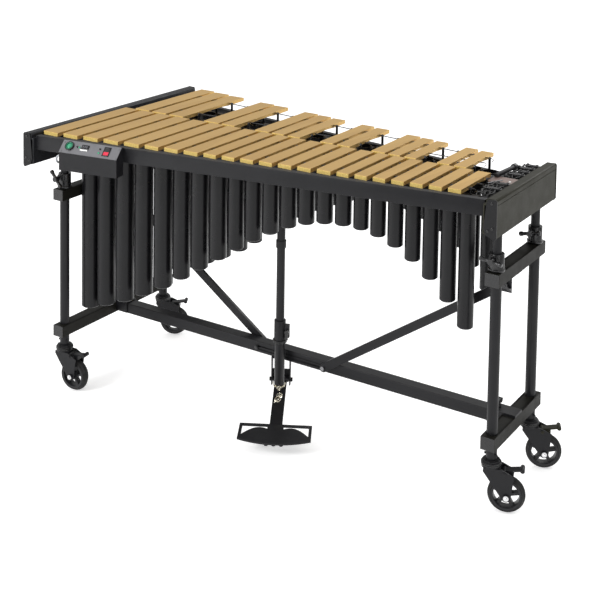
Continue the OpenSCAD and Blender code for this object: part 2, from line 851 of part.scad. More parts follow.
module tube_caps() {
    color(plastic_black) {
        for (p = natural_tubes_at) tube_cap(tube_line_natural, p);
        for (p = sharp_tubes_at) tube_cap(tube_line_sharp, p);
    }
}

// flat carrier with a hole for every tube of one bank
module carrier(line, tubes) {
    width = tube_d_bass + 2 * plate_side;
    difference() {
        between_boards()
            translate([0, line[0], plate_z])
                rotate([0, 0, line_angle(line)])
                    translate([-800, -width / 2, 0])
                        cube([1600, width, plate_t]);
        for (p = tubes)
            at_tube(line, p) translate([0, 0, plate_z - 1]) cylinder(d = tube_d(p) + 0.1, h = plate_t + 2);
    }
}

module resonator_rails() {
    color(black_paint) {
        carrier(tube_line_natural, natural_tubes_at);
        carrier(tube_line_sharp, sharp_tubes_at);
    }
}

/* ---------- fans and motor ---------- */

// shaft with a disc in every sounding tube and a pulley at the high end
module fan_shaft(line, tubes) {
    tilt = line_angle(line);
    start = first_tube_limit - tube_d_bass / 2 - 1.5;
    translate([0, line[0], fan_z]) rotate([0, 0, tilt]) {
        translate([start / cos(tilt), 0, 0]) rod_along_x(shaft_d, (pulley_x + 8 - start) / cos(tilt));
        for (p = tubes) {
            x = tube_x(p) / cos(tilt);
            r = tube_d(p) / 2 - tube_wall - fan_gap;
            translate([x, 0, -fan_t / 2]) cylinder(r = r, h = fan_t);
        }
        translate([pulley_x / cos(tilt), 0, 0]) pulley();
    }
}

// flanged pulley centred on x = 0
module pulley() {
    translate([-pulley_w / 2, 0, 0]) rod_along_x(2 * pulley_r, flange_t);
    translate([-pulley_w / 2, 0, 0]) rod_along_x(2 * pulley_r - 5, pulley_w);
    translate([pulley_w / 2 - flange_t, 0, 0]) rod_along_x(2 * pulley_r, flange_t);
}

module natural_fans() {
    color(steel) fan_shaft(tube_line_natural, natural_tubes_at);
}

module accidental_fans() {
    color(steel) fan_shaft(tube_line_sharp, [for (i = sharps) i + 0.5]);
}

module motor() {
    color(plastic_black)
        translate(motor_at)
            difference() {
                union() {
                    rod_along_x(motor_d, motor_len);
                    translate([-3, 0, 0]) rod_along_x(18, 4);
                }
                translate([-4, 0, 0]) rod_along_x(5 + 2 * run_gap, 20);
            }
}

module motor_pulley() {
    color(steel)
        translate([pulley_x, motor_at[1], motor_at[2]]) {
            pulley();
            rod_along_x(5, 26);
        }
}

// two cheeks hold the motor under a plate that is fixed to the web, with a round arm behind it
module motor_bracket() {
    t = 3;
    side = motor_d / 2 + 0.05;
    cheek_x = motor_at[0] + 6;
    low = motor_at[2] - side;
    plate = [624, 1, 847];
    plate_w = 60;
    arm = [632, 46, plate[2] + t + 5.5];
    color([0.50, 0.42, 0.40]) {
        for (y = [motor_at[1] - side - t, motor_at[1] + side])
            translate([cheek_x, y, low]) cube([28, t, plate[2] - low]);
        translate(plate) cube([web_x - plate[0], plate_w, t]);
        translate([web_x - t, plate[1], low]) cube([t, plate_w, plate[2] - low]);
        translate(arm) rotate([0, 0, -4.5]) {
            rod_along_y(13, 116);
            translate([0, 104, 0]) rod_along_y(19, 14);
        }
    }
}

module slot_shape(y0, y1, r) {
    for (y = [y0, y1]) translate([y, 0]) circle(r = r);
    translate([y0, -r]) square([y1 - y0, 2 * r]);
}

// belt as a flat loop around two pulleys, from y0 to y1
module belt(x, y0, y1) {
    r = pulley_r - 2.2;
    thick = 1.4;
    translate([x, 0, fan_z])
        rotate([90, 0, 90])
            linear_extrude(belt_w)
                difference() {
                    slot_shape(y0, y1, r + thick);
                    slot_shape(y0, y1, r);
                }
}

module drive_belts() {
    color(felt_black) {
        belt(pulley_x - 0.3 - belt_w, y_on(tube_line_natural, pulley_x), motor_at[1]);
        belt(pulley_x + 0.3, motor_at[1], y_on(tube_line_sharp, pulley_x));
    }
}

/* ---------- controls ---------- */

module on_front_beam() {
    translate([0, front_beam_line[0], 0]) rotate([0, 0, line_angle(front_beam_line)]) children();
}

panel_back = -8;
panel_top_z = 860;
panel_low_z = 829;
wall = 2;
function box_outline(d) = [
    [-d, panel_top_z - 2 * d], [-d, box_bottom + d], [-box_depth + d, box_bottom + d],
    [-box_depth + d, panel_low_z - d], [panel_back, panel_top_z - 2 * d]];

module control_box() {
    color(black_paint)
        on_front_beam() translate([box_left, 0, 0])
            difference() {
                rotate([90, 0, 90]) linear_extrude(box_len) polygon(box_outline(0));
                translate([wall, 0, 0])
                    rotate([90, 0, 90]) linear_extrude(box_len - 2 * wall) polygon(box_outline(wall));
                translate([0, -box_depth, panel_low_z]) rotate([panel_angle, 0, 0]) panel_openings();
            }
}

module panel_openings() {
    translate([power_at[0], power_at[1], -8]) cylinder(d = power_d + 2 * run_gap, h = 16);
    translate([rocker_at[0] - rocker_w / 2 - 0.3, rocker_at[1] - rocker_h / 2 - 0.4, -8])
        cube([rocker_w + 0.6, rocker_h + 0.8, 16]);
}

panel_angle = atan((panel_top_z - panel_low_z) / (box_depth + panel_back));
panel_len = norm([panel_top_z - panel_low_z, box_depth + panel_back]);
// frame on the sloping panel: x along it, y up the slope, z out of it
module on_panel() {
    on_front_beam()
        translate([box_left, -box_depth, panel_low_z])
            rotate([panel_angle, 0, 0])
                children();
}

power_at = [29, 24];
rocker_at = [161, 22];
display_at = [84, 24];
power_d = 24;
rocker_w = 17;
rocker_h = 24;
module control_panel() {
    color(panel_silver)
        on_panel()
            difference() {
                union() {
                    translate([0, 0.4, 0.1]) cube([box_len, panel_len - 0.4, 1.6]);
                    translate([display_at[0] - 12, display_at[1] - 9, 1.5]) cube([24, 18, 2]);
                    for (x = [6, box_len - 6]) for (y = [6, panel_len - 7])
                        translate([x, y, 1.5]) cylinder(d = 5, h = 1.4);
                }
                panel_openings();
            }
}

// round push switch of the motor, with a raised ring
module power_switch() {
    color([0.05, 0.42, 0.25])
        on_panel() translate([power_at[0], power_at[1], -3]) {
            cylinder(d = power_d, h = 7);
            difference() {
                cylinder(d = power_d, h = 8.5);
                cylinder(d = power_d - 4, h = 9);
            }
        }
}

// red rocker that starts and stops the fans
module fan_rocker() {
    color([0.75, 0.10, 0.14])
        on_panel() translate([rocker_at[0] - rocker_w / 2, rocker_at[1], 0.5]) {
            rotate([90, 0, 90]) linear_extrude(rocker_w)
                polygon([[-11, -1.5], [11, -1.5], [11.5, 4.2], [0, 2.6], [-11.5, 2.6]]);
            // pivot barrel
            rod_along_x(5, rocker_w);
        }
}

// mains lead: leaves the box's side, bends down and turns back under the keyboard
module power_cable() {
    d = 6;
    bend = 12;
    drop = 1;
    run = 26;
    color([0.55, 0.56, 0.58])
        on_front_beam() translate([box_left, -16, 812]) {
            rotate([0, -90, 0]) cylinder(d = 11, h = 9);
            rotate([0, -90, 0]) cylinder(d = d, h = bend);
            translate([-bend, 0, -bend]) rotate([90, 0, 0]) rotate_extrude(angle = 90, start = 90)
                translate([bend, 0]) circle(d = d);
            translate([-2 * bend, 0, -bend - drop]) cylinder(d = d, h = drop);
            translate([-2 * bend, bend, -bend - drop]) rotate([0, 90, 0])
                rotate_extrude(angle = 90, start = 270) translate([bend, 0]) circle(d = d);
            translate([-2 * bend, bend, -2 * bend - drop]) rod_along_y(d, run);
        }
}

/* ---------- damper, rod and pedal ---------- */

damper_y = 35;
felt_w = 26;
felt_t = 8;
felt_top = bar_bottom - 0.3;
damper_t = 8;
damper_z = felt_top - felt_t - damper_t;
damper_x0 = -690;
damper_x1 = 620;
guide_x = [-600, 0, 560];
guide_z = 820;
guide_t = 4;
guide_pin_d = 6;

// flat damper bar with guide pins and the arm down to the pull rod
module damper_bar() {
    arm_z = rod_top + 8;
    color(black_paint) {
        translate([damper_x0, damper_y - 14, damper_z]) cube([damper_x1 - damper_x0, 28, damper_t]);
        for (x = guide_x)
            translate([x, damper_y, guide_z - 14]) cylinder(d = guide_pin_d, h = damper_z - guide_z + 14 + eps);
        translate([rod_at[0] - 7, damper_y - 4, arm_z]) cube([14, 8, damper_z - arm_z + eps]);
        translate([rod_at[0] - 7, rod_at[1], arm_z]) cube([14, damper_y + 4 - rod_at[1], 12]);
        translate([rod_at[0], rod_at[1], arm_z - 8]) cylinder(d = 30, h = 20);
    }
}

module damper_felt() {
    color(felt_black)
        translate([damper_x0, damper_y - felt_w / 2, damper_z + damper_t])
            cube([damper_x1 - damper_x0, felt_w, felt_t]);
}

// cross straps between the two inner rails that guide the damper's pins
module damper_guides() {
    color(black_paint)
        for (x = guide_x) {
            y0 = y_on(cord_lines[1], x) + rail_w / 2 - 6;
            y1 = y_on(cord_lines[2], x) - rail_w / 2 + 6;
            difference() {
                translate([x - 9, y0, guide_z]) cube([18, y1 - y0, guide_t]);
                translate([x, damper_y, guide_z - 1]) cylinder(d = guide_pin_d + 2 * run_gap, h = 8);
            }
            for (y = [y0, y1 - 6]) translate([x - 9, y, guide_z + guide_t]) cube([18, 6, rail_z[1] - guide_z - guide_t]);
        }
}

// coil springs that hold the damper up, drawn as closed ribbed sleeves
module damper_springs() {
    rest = damper_z - guide_z - guide_t;
    coils = 4;
    color(steel)
        for (x = guide_x)
            translate([x, damper_y, guide_z + guide_t])
                rotate_extrude()
                    polygon(concat(
                        [[guide_pin_d / 2 + 1, 0]],
                        [for (k = [0 : 2 * coils]) [k % 2 == 0 ? 5.2 : 6.4, rest * k / (2 * coils)]],
                        [[guide_pin_d / 2 + 1, rest]]));
}

module pull_rod() {
    color(black_paint)
        translate([rod_at[0], rod_at[1], 0]) {
            translate([0, 0, rod_bottom]) cylinder(d = rod_d, h = rod_top - rod_bottom);
            translate([0, 0, collar_z]) cylinder(d = rod_d + 6, h = collar_h);
        }
}

// lower sleeve, closed at the bottom, with its clamp ring and screw
module rod_sleeve() {
    clamp_z = 258;
    color(black_paint) translate([rod_at[0], rod_at[1], 0])
        difference() {
            union() {
                translate([0, 0, sleeve_bottom]) cylinder(d = sleeve_d, h = sleeve_top - sleeve_bottom);
                translate([0, 0, clamp_z]) cylinder(d = sleeve_d + 4, h = sleeve_top - clamp_z);
                translate([0, 0, clamp_z - 8]) cylinder(d = sleeve_d + 9, h = 8);
                rotate([0, 0, lug_turn]) translate([sleeve_d / 2 - 2, -6, clamp_z + 8]) cube([16, 12, 40]);
            }
            translate([0, 0, sleeve_bottom + 6]) cylinder(d = rod_d + 2 * run_gap, h = 300);
            rotate([0, 0, lug_turn]) translate([lug_screw_x, -10, lug_screw_z]) rod_along_y(6 + 2 * run_gap, 20);
        }
}

// clamp lever: screw through the sleeve's lug, head and finger tab
module rod_lever() {
    color(plastic_black) translate([rod_at[0], rod_at[1], 0])
        rotate([0, 0, lug_turn]) translate([lug_screw_x, 0, lug_screw_z]) {
            translate([0, -12, 0]) rod_along_y(6, 22);
            translate([0, -16, 0]) rod_along_y(12, 8);
            translate([-4, -15, -24]) cube([8, 6, 22]);
            translate([0, 7.2, 0]) rod_along_y(10, 4);
        }
}

link_r = 5;
link_wire = 2.6;
chain_low_z = sleeve_bottom - 18;
module link(z, turn) {
    translate([0, 0, z]) rotate([90, 0, turn])
        rotate_extrude() translate([link_r, 0]) circle(d = link_wire, $fn = 32);
}

// stud, wing nut and two links that join the rod's foot to the pedal arm
module rod_chain() {
    color(steel) translate([rod_at[0], rod_at[1], 0]) rotate([0, 0, pedal_yaw]) {
        translate([0, 0, sleeve_bottom - 10]) cylinder(d = 6, h = 10);
        translate([0, 0, sleeve_bottom - 5]) cylinder(d = 12, h = 4);
        for (s = [-1, 1])
            translate([0, 0, sleeve_bottom - 5]) rotate([0, 12 * s, 0])
                translate([s > 0 ? 4 : -15, -1.5, -2]) cube([11, 3, 6]);
        link(sleeve_bottom - 12, 0);
        link(chain_low_z, 90);
    }
}

module on_pedal() {
    translate(pedal_at) rotate([0, 0, pedal_yaw]) children();
}

bracket_half = 26;
module pedal_bracket() {
    plate = 4;
    drop = 14;
    height = beam_z - pedal_at[2] - 0.02;
    color(black_paint) on_pedal() {
        difference() {
            union() {
                for (s = [0, 1]) mirror([s, 0, 0])
                    translate([bracket_half, -12, -drop]) cube([plate, 26, height + drop]);
                translate([-bracket_half - plate, -12, height - plate])
                    cube([2 * (bracket_half + plate), 26, plate]);
                translate([-bracket_half, 10, -drop + 4]) cube([2 * bracket_half, plate, 38]);
            }
            translate([-bracket_half - 10, 0, 0]) rod_along_x(pin_d, 2 * bracket_half + 20);
        }
        // hinge pin with a nut at each end
        translate([-bracket_half - plate - 4, 0, 0]) rod_along_x(pin_d - 0.02, 2 * (bracket_half + plate + 4));
        for (s = [0, 1]) mirror([s, 0, 0])
            translate([bracket_half + plate, 0, 0]) rotate([0, 90, 0]) cylinder(d = 14, h = 6, $fn = 6);
    }
}

// foot plate: straight back bar, bulged front, two windows with a wavy lower edge
module foot_plate_shape() {
    half = pedal_w / 2;
    rim = 9;
    difference() {
        polygon(concat(
            [[-half, 0], [half, 0]],
            [for (k = [0 : 16]) let (t = 1 - k / 8)
                [t * half, -plate_depth - plate_bulge * (1 - t * t)]]));
        for (s = [-1, 1])
            polygon(concat(
                [[s * (half - rim), -rim], [s * 24, -rim]],
                [for (k = [0 : 12]) let (u = k / 12, x = 24 + (half - rim - 24) * u)
                    [s * x, -rim - 16 - 34 * pow(u, 1.6) + 14 * sin(180 * u)]]));
    }
}

// ears and cross pin on the arm that hold the lower link of the chain
chain_reach = norm([rod_at[0] - pedal_at[0], rod_at[1] - pedal_at[1]]);
module chain_anchor() {
    arm_z = -chain_reach * tan(pedal_slope);
    pin_z = chain_low_z - pedal_at[2] - link_r + link_wire / 2 + 1.6;
    for (s = [0, 1]) mirror([s, 0, 0])
        translate([3.5, -chain_reach - 5, arm_z - 1]) cube([2.5, 10, pin_z + 1.3 - arm_z + 1]);
    translate([-4, -chain_reach, pin_z]) rod_along_x(2, 8);
}

module pedal() {
    tilt = 4;
    reach = arm_len + 14;
    color(black_paint) on_pedal() {
        difference() {
            union() {
                rotate([pedal_slope, 0, 0])
                    translate([-arm_w / 2, -reach / cos(pedal_slope), -arm_t / 2])
                        cube([arm_w, reach / cos(pedal_slope), arm_t]);
                translate([-bracket_half + 2, 0, 0]) rod_along_x(16, 2 * bracket_half - 4);
            }
            translate([-bracket_half - 1, 0, 0]) rod_along_x(pin_d + 2 * run_gap, 2 * bracket_half + 2);
        }
        chain_anchor();
        translate([0, -reach, -reach * tan(pedal_slope) - 2])
            rotate([tilt, 0, 0]) {
                linear_extrude(5) foot_plate_shape();
                // rubber stops under the front edge
                for (x = [-22, 0, 22])
                    translate([x, -plate_depth - plate_bulge + 12, -7.02]) cylinder(d = 12, h = 7);
            }
    }
}

placed() crossbars();
placed() tube_plugs();
placed() legs();
placed() stretcher_beam();
placed() frame_brackets();
placed() braces();
placed() frame_bolts();
placed() leg_clamps();
placed() clamp_knob_front_low();
placed() clamp_knob_front_high();
placed() clamp_knob_back_low();
placed() clamp_knob_back_high();
placed() caster_stems();
placed() fork_front_low();
placed() fork_front_high();
placed() fork_back_low();
placed() fork_back_high();
placed() wheel_front_low();
placed() wheel_front_high();
placed() wheel_back_low();
placed() wheel_back_high();
placed() brake_front_low();
placed() brake_front_high();
placed() brake_back_low();
placed() brake_back_high();
placed() posts();
placed() end_board_low();
placed() end_board_high();
placed() end_plates();
placed() end_screws();
placed() keyboard_rails();
placed() cord_posts();
placed() cords();
placed() natural_bars();
placed() accidental_bars();
placed() natural_tubes();
placed() accidental_tubes();
placed() tube_caps();
placed() resonator_rails();
placed() natural_fans();
placed() accidental_fans();
placed() motor();
placed() motor_pulley();
placed() motor_bracket();
placed() drive_belts();
placed() control_box();
placed() control_panel();
placed() power_switch();
placed() fan_rocker();
placed() power_cable();
placed() damper_bar();
placed() damper_felt();
placed() damper_guides();
placed() damper_springs();
placed() pull_rod();
placed() rod_sleeve();
placed() rod_lever();
placed() rod_chain();
placed() pedal();
placed() pedal_bracket();
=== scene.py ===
"""Looks of the vibraphone: materials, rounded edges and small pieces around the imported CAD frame."""

import bpy
import bmesh
import json
import math
from mathutils import Matrix, Vector, noise
from mathutils.bvhtree import BVHTree


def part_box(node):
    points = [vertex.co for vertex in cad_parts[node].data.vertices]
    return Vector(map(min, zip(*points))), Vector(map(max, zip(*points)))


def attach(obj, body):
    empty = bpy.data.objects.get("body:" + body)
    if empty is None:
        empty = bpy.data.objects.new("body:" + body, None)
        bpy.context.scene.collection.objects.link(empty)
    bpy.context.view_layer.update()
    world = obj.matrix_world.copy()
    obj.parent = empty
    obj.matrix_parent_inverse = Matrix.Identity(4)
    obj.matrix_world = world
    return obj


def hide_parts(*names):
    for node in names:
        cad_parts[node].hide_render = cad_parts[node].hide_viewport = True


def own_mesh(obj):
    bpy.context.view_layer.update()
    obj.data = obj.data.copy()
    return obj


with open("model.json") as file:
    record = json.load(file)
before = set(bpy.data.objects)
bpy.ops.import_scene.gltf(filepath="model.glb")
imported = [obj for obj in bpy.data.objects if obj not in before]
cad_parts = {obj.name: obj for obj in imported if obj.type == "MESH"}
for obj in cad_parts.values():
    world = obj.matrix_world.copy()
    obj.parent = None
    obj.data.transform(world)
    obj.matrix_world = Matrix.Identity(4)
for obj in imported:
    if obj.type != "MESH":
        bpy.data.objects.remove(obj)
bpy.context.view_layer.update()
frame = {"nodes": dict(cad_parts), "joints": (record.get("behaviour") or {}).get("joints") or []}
NODES = frame["nodes"]
JOINTS = {j["name"]: j for j in frame["joints"]}
MM = 0.001
CORNERS = ("front_low", "front_high", "back_low", "back_high")


# ---------- building materials ----------

class Surface:
    """A material built round one Principled shader, in object coordinates (metres)."""

    def __init__(self, name, roughness=0.5, metallic=0.0):
        self.material = bpy.data.materials.new(name)
        self.material.use_nodes = True
        self.tree = self.material.node_tree
        self.shader = self.tree.nodes["Principled BSDF"]
        self.shader.inputs["Roughness"].default_value = roughness
        self.shader.inputs["Metallic"].default_value = metallic
        self.coords = self.tree.nodes.new("ShaderNodeTexCoord").outputs["Object"]
        self.bump_normal = None

    def link(self, output, target):
        self.tree.links.new(output, target)

    def mapped(self, scale):
        """Object coordinates multiplied by scale (x, y, z)."""
        node = self.tree.nodes.new("ShaderNodeMapping")
        node.inputs["Scale"].default_value = scale
        self.link(self.coords, node.inputs["Vector"])
        return node.outputs["Vector"]

    def noise(self, scale, detail=4.0, stretch=None):
        node = self.tree.nodes.new("ShaderNodeTexNoise")
        node.inputs["Scale"].default_value = scale
        node.inputs["Detail"].default_value = detail
        node.inputs["Roughness"].default_value = 0.55
        self.link(self.mapped(stretch) if stretch else self.coords, node.inputs["Vector"])
        return node.outputs["Fac"]

    def ramp(self, value, low, high, bottom=0.0, top=1.0):
        """value taken from low..high to bottom..top, and held outside."""
        node = self.tree.nodes.new("ShaderNodeMapRange")
        node.inputs["From Min"].default_value = low
        node.inputs["From Max"].default_value = high
        node.inputs["To Min"].default_value = bottom
        node.inputs["To Max"].default_value = top
        self.link(value, node.inputs["Value"])
        return node.outputs["Result"]

    def math(self, operation, a, b):
        node = self.tree.nodes.new("ShaderNodeMath")
        node.operation = operation
        for socket, value in zip(node.inputs, (a, b)):
            if isinstance(value, (int, float)):
                socket.default_value = value
            else:
                self.link(value, socket)
        return node.outputs["Value"]

    def mix(self, factor, a, b):
        """Colour a where factor is 0, b where it is 1."""
        node = self.tree.nodes.new("ShaderNodeMix")
        node.data_type = "RGBA"
        if isinstance(factor, float):
            node.inputs["Factor"].default_value = factor
        else:
            self.link(factor, node.inputs["Factor"])
        for socket, value in ((node.inputs[6], a), (node.inputs[7], b)):
            if isinstance(value, tuple):
                socket.default_value = (*value, 1.0)
            else:
                self.link(value, socket)
        return node.outputs[2]

    def colour(self, source):
        if isinstance(source, tuple):
            self.shader.inputs["Base Color"].default_value = (*source, 1.0)
        else:
            self.link(source, self.shader.inputs["Base Color"])

    def edges(self, radius_mm=1.2):
        """1 on worn sharp edges, 0 elsewhere: where a rounded normal leaves the face's own."""
        rounded = self.tree.nodes.new("ShaderNodeBevel")
        rounded.samples = 3
        rounded.inputs["Radius"].default_value = radius_mm * MM
        geometry = self.tree.nodes.new("ShaderNodeNewGeometry")
        dot = self.tree.nodes.new("ShaderNodeVectorMath")
        dot.operation = "DOT_PRODUCT"
        self.link(rounded.outputs["Normal"], dot.inputs[0])
        self.link(geometry.outputs["Normal"], dot.inputs[1])
        patchy = self.ramp(self.noise(90, 5), 0.40, 0.62)
        return self.math("MULTIPLY", self.ramp(dot.outputs["Value"], 0.98, 0.80), patchy)

    def island(self):
        """A random number for each separate solid."""
        return self.tree.nodes.new("ShaderNodeNewGeometry").outputs["Random Per Island"]

    def bump(self, height, strength, distance):
        node = self.tree.nodes.new("ShaderNodeBump")
        node.inputs["Strength"].default_value = strength
        node.inputs["Distance"].default_value = distance
        self.link(height, node.inputs["Height"])
        if self.bump_normal is not None:
            self.link(self.bump_normal, node.inputs["Normal"])
        self.bump_normal = node.outputs["Normal"]
        self.link(self.bump_normal, self.shader.inputs["Normal"])

    def roughness(self, source):
        self.link(source, self.shader.inputs["Roughness"])


def powder_coat(name, dark, light, low_rough, high_rough, shine, grain=1400, bump=0.25, wear=0.6):
    """Baked powder paint: fine orange peel, faint mottling and lighter worn edges."""
    s = Surface(name)
    s.shader.inputs["Specular IOR Level"].default_value = shine
    mottled = s.mix(s.ramp(s.noise(9, 5), 0.3, 0.75), dark, light)
    worn = tuple(min(1.0, c * 2.2 + 0.02) for c in light)
    s.colour(s.mix(s.math("MULTIPLY", s.edges(), wear), mottled, worn) if wear else mottled)
    s.roughness(s.ramp(s.noise(30, 5), 0.3, 0.7, low_rough, high_rough))
    s.bump(s.noise(grain, 2), bump, 0.00008)
    return s.material


def bar_metal(name):
    """Satin anodised aluminium, brushed along the bars, each bar a slightly different tone.

    The bar ends, pointing front and back, are painted brighter and yellower than the tops and made less
    metallic: a painted reflection of the bright front of the studio.
    """
    s = Surface(name)
    base = s.mix(s.island(), (0.58, 0.365, 0.117), (0.64, 0.415, 0.140))
    streaks = s.noise(1.0, 5, stretch=(900, 16, 900))
    base = s.mix(s.ramp(streaks, 0.35, 0.65, 0.0, 0.24), base, (0.76, 0.51, 0.19))
    cloudy = s.ramp(s.noise(5, 3), 0.35, 0.7, 0.0, 0.14)
    base = s.mix(cloudy, base, (0.55, 0.32, 0.12))
    # painted reflection: faces pointing front and back (along y) get a brighter, yellower grainy colour and
    # less metal, standing in for the bright studio front they reflect
    facing = s.tree.nodes.new("ShaderNodeSeparateXYZ")
    s.link(s.tree.nodes.new("ShaderNodeNewGeometry").outputs["Normal"], facing.inputs["Vector"])
    painted_reflection_faces = s.ramp(s.math("ABSOLUTE", facing.outputs["Y"], 0.0), 0.80, 0.95)
    painted_reflection_colour = s.mix(s.ramp(s.noise(260, 4), 0.35, 0.65), (0.66, 0.47, 0.13), (0.80, 0.60, 0.20))
    base = s.mix(painted_reflection_faces, base, painted_reflection_colour)
    s.colour(s.mix(s.math("MULTIPLY", s.edges(1.6), 0.75), base, (0.95, 0.78, 0.38)))
    s.link(s.ramp(painted_reflection_faces, 0.0, 1.0, 0.82, 0.25), s.shader.inputs["Metallic"])
    s.roughness(s.ramp(s.noise(1.0, 4, stretch=(700, 20, 700)), 0.3, 0.7, 0.36, 0.48))
    s.bump(streaks, 0.14, 0.00006)
    return s.material


def bright_metal(name, tint, low_rough=0.14, high_rough=0.32, stretch=(400, 400, 30)):
    """Plated steel with fine polishing lines and finger marks."""
    s = Surface(name, metallic=1.0)
    s.colour(s.mix(s.ramp(s.noise(30, 5), 0.4, 0.7, 0.0, 0.4), tint, tuple(c * 0.72 for c in tint)))
    s.roughness(s.ramp(s.noise(1.0, 5, stretch=stretch), 0.3, 0.7, low_rough, high_rough))
    s.bump(s.noise(1.0, 3, stretch=stretch), 0.06, 0.0002)
    return s.material


def plastic(name, dark, light, low_rough, high_rough, grain=2500, bump=0.2):
    """Moulded plastic: fine grain, slight sheen and scuffed edges."""
    s = Surface(name)
    body = s.mix(s.ramp(s.noise(25, 5), 0.35, 0.7), dark, light)
    scuff = tuple(min(1.0, c * 1.8 + 0.02) for c in light)
    s.colour(s.mix(s.math("MULTIPLY", s.edges(), 0.4), body, scuff))
    s.roughness(s.ramp(s.noise(80, 6), 0.3, 0.7, low_rough, high_rough))
    s.bump(s.noise(grain, 2), bump, 0.0001)
    return s.material


def woven(name, dark, light, thread):
    """Braided or felted fibre, one thread every `thread` metres."""
    s = Surface(name, roughness=0.9)
    wave = s.tree.nodes.new("ShaderNodeTexWave")
    wave.wave_type = "BANDS"
    wave.bands_direction = "DIAGONAL"
    wave.inputs["Scale"].default_value = 1.0 / thread / 6.28
    wave.inputs["Distortion"].default_value = 1.6
    s.link(s.coords, wave.inputs["Vector"])
    fibres = s.noise(1600, 5)
    s.colour(s.mix(s.math("MULTIPLY", wave.outputs["Fac"], fibres), dark, light))
    s.shader.inputs["Sheen Weight"].default_value = 0.35
    s.bump(wave.outputs["Fac"], 0.5, 0.0006)
    s.bump(fibres, 0.5, 0.0004)
    return s.material


def rubber_and_core(name, centre, axis, core_radius):
    """Caster wheel: moulded core inside core_radius of the axle line, dull rubber outside it."""
    s = Surface(name)
    s.shader.inputs["Specular IOR Level"].default_value = 0.28
    offset = s.tree.nodes.new("ShaderNodeVectorMath")
    offset.operation = "SUBTRACT"
    offset.inputs[1].default_value = centre
    s.link(s.coords, offset.inputs[0])
    cross = s.tree.nodes.new("ShaderNodeVectorMath")
    cross.operation = "CROSS_PRODUCT"
    cross.inputs[1].default_value = axis
    s.link(offset.outputs["Vector"], cross.inputs[0])
    length = s.tree.nodes.new("ShaderNodeVectorMath")
    length.operation = "LENGTH"
    s.link(cross.outputs["Vector"], length.inputs[0])
    outside = s.ramp(length.outputs["Value"], core_radius - 0.0002, core_radius + 0.0002)
    core = s.mix(s.ramp(s.noise(40, 5), 0.35, 0.7), (0.009, 0.009, 0.010), (0.018, 0.018, 0.020))
    tread = s.mix(s.ramp(s.noise(55, 6), 0.4, 0.7), (0.006, 0.006, 0.0065), (0.016, 0.0155, 0.015))
    s.colour(s.mix(outside, core, tread))
    rough = s.math("ADD", s.ramp(s.noise(70, 5), 0.3, 0.7, 0.34, 0.46), s.math("MULTIPLY", outside, 0.28))
    s.roughness(rough)
    s.bump(s.noise(1800, 3), 0.3, 0.0002)
    return s.material


def bracket_coat(name, arm_y, plate_top):
    """Bronze-coloured plate; the round arm on top of it and behind arm_y is black."""
    s = Surface(name)
    part = s.tree.nodes.new("ShaderNodeSeparateXYZ")
    s.link(s.coords, part.inputs["Vector"])
    arm = s.math("MAXIMUM", s.math("GREATER_THAN", part.outputs["Y"], arm_y),
                 s.math("GREATER_THAN", part.outputs["Z"], plate_top))
    plate = s.mix(s.ramp(s.noise(22, 5), 0.3, 0.7), (0.150, 0.100, 0.088), (0.205, 0.145, 0.125))
    black = s.mix(s.ramp(s.noise(60, 5), 0.35, 0.7), (0.010, 0.010, 0.011), (0.018, 0.018, 0.020))
    s.colour(s.mix(arm, plate, black))
    s.roughness(s.ramp(s.noise(70, 5), 0.3, 0.7, 0.30, 0.46))
    s.bump(s.noise(1200, 2), 0.2, 0.0001)
    return s.material


def bolts_metal(name, bright_low, bright_high):
    """Blackened bolts, except inside one box, where they are bright plated steel."""
    s = Surface(name)
    part = s.tree.nodes.new("ShaderNodeSeparateXYZ")
    s.link(s.coords, part.inputs["Vector"])
    inside = 1.0
    for axis, low, high in zip(("X", "Y", "Z"), bright_low, bright_high):
        inside = s.math("MULTIPLY", s.math("GREATER_THAN", part.outputs[axis], low), inside)
        inside = s.math("MULTIPLY", s.math("LESS_THAN", part.outputs[axis], high), inside)
    black = s.mix(s.ramp(s.noise(60, 5), 0.35, 0.7), (0.012, 0.012, 0.013), (0.022, 0.022, 0.024))
    plated = s.mix(s.ramp(s.noise(40, 5), 0.4, 0.7), (0.30, 0.30, 0.31), (0.16, 0.16, 0.17))
    s.colour(s.mix(inside, black, plated))
    s.link(inside, s.shader.inputs["Metallic"])
    s.roughness(s.ramp(s.noise(90, 5), 0.3, 0.7, 0.16, 0.32))
    s.bump(s.noise(900, 3), 0.10, 0.0001)
    return s.material


def two_tone(name, split_z):
    """Glossy rocker cap: red below split_z, black above it, with faint scuffs."""
    s = Surface(name)
    part = s.tree.nodes.new("ShaderNodeSeparateXYZ")
    s.link(s.coords, part.inputs["Vector"])
    above = s.ramp(part.outputs["Z"], split_z - 0.0003, split_z + 0.0003)
    red = s.mix(s.ramp(s.noise(60, 5), 0.35, 0.7), (0.55, 0.018, 0.045), (0.68, 0.03, 0.07))
    black = s.mix(s.ramp(s.noise(60, 5), 0.35, 0.7), (0.007, 0.007, 0.008), (0.014, 0.014, 0.016))
    s.colour(s.mix(above, red, black))
    s.roughness(s.ramp(s.noise(90, 5), 0.3, 0.7, 0.18, 0.32))
    s.bump(s.noise(900, 2), 0.06, 0.0001)
    return s.material


def glowing(name, colour, strength):
    """Glossy tinted lens with a faint light of its own, uneven in tint."""
    s = Surface(name, roughness=0.2)
    lens = s.mix(s.ramp(s.noise(300, 3), 0.35, 0.65), colour, tuple(c * 0.6 for c in colour))
    s.colour(lens)
    s.link(lens, s.shader.inputs["Emission Color"])
    s.shader.inputs["Emission Strength"].default_value = strength
    s.shader.inputs["Coat Weight"].default_value = 0.6
    s.bump(s.noise(900, 2), 0.08, 0.0001)
    return s.material


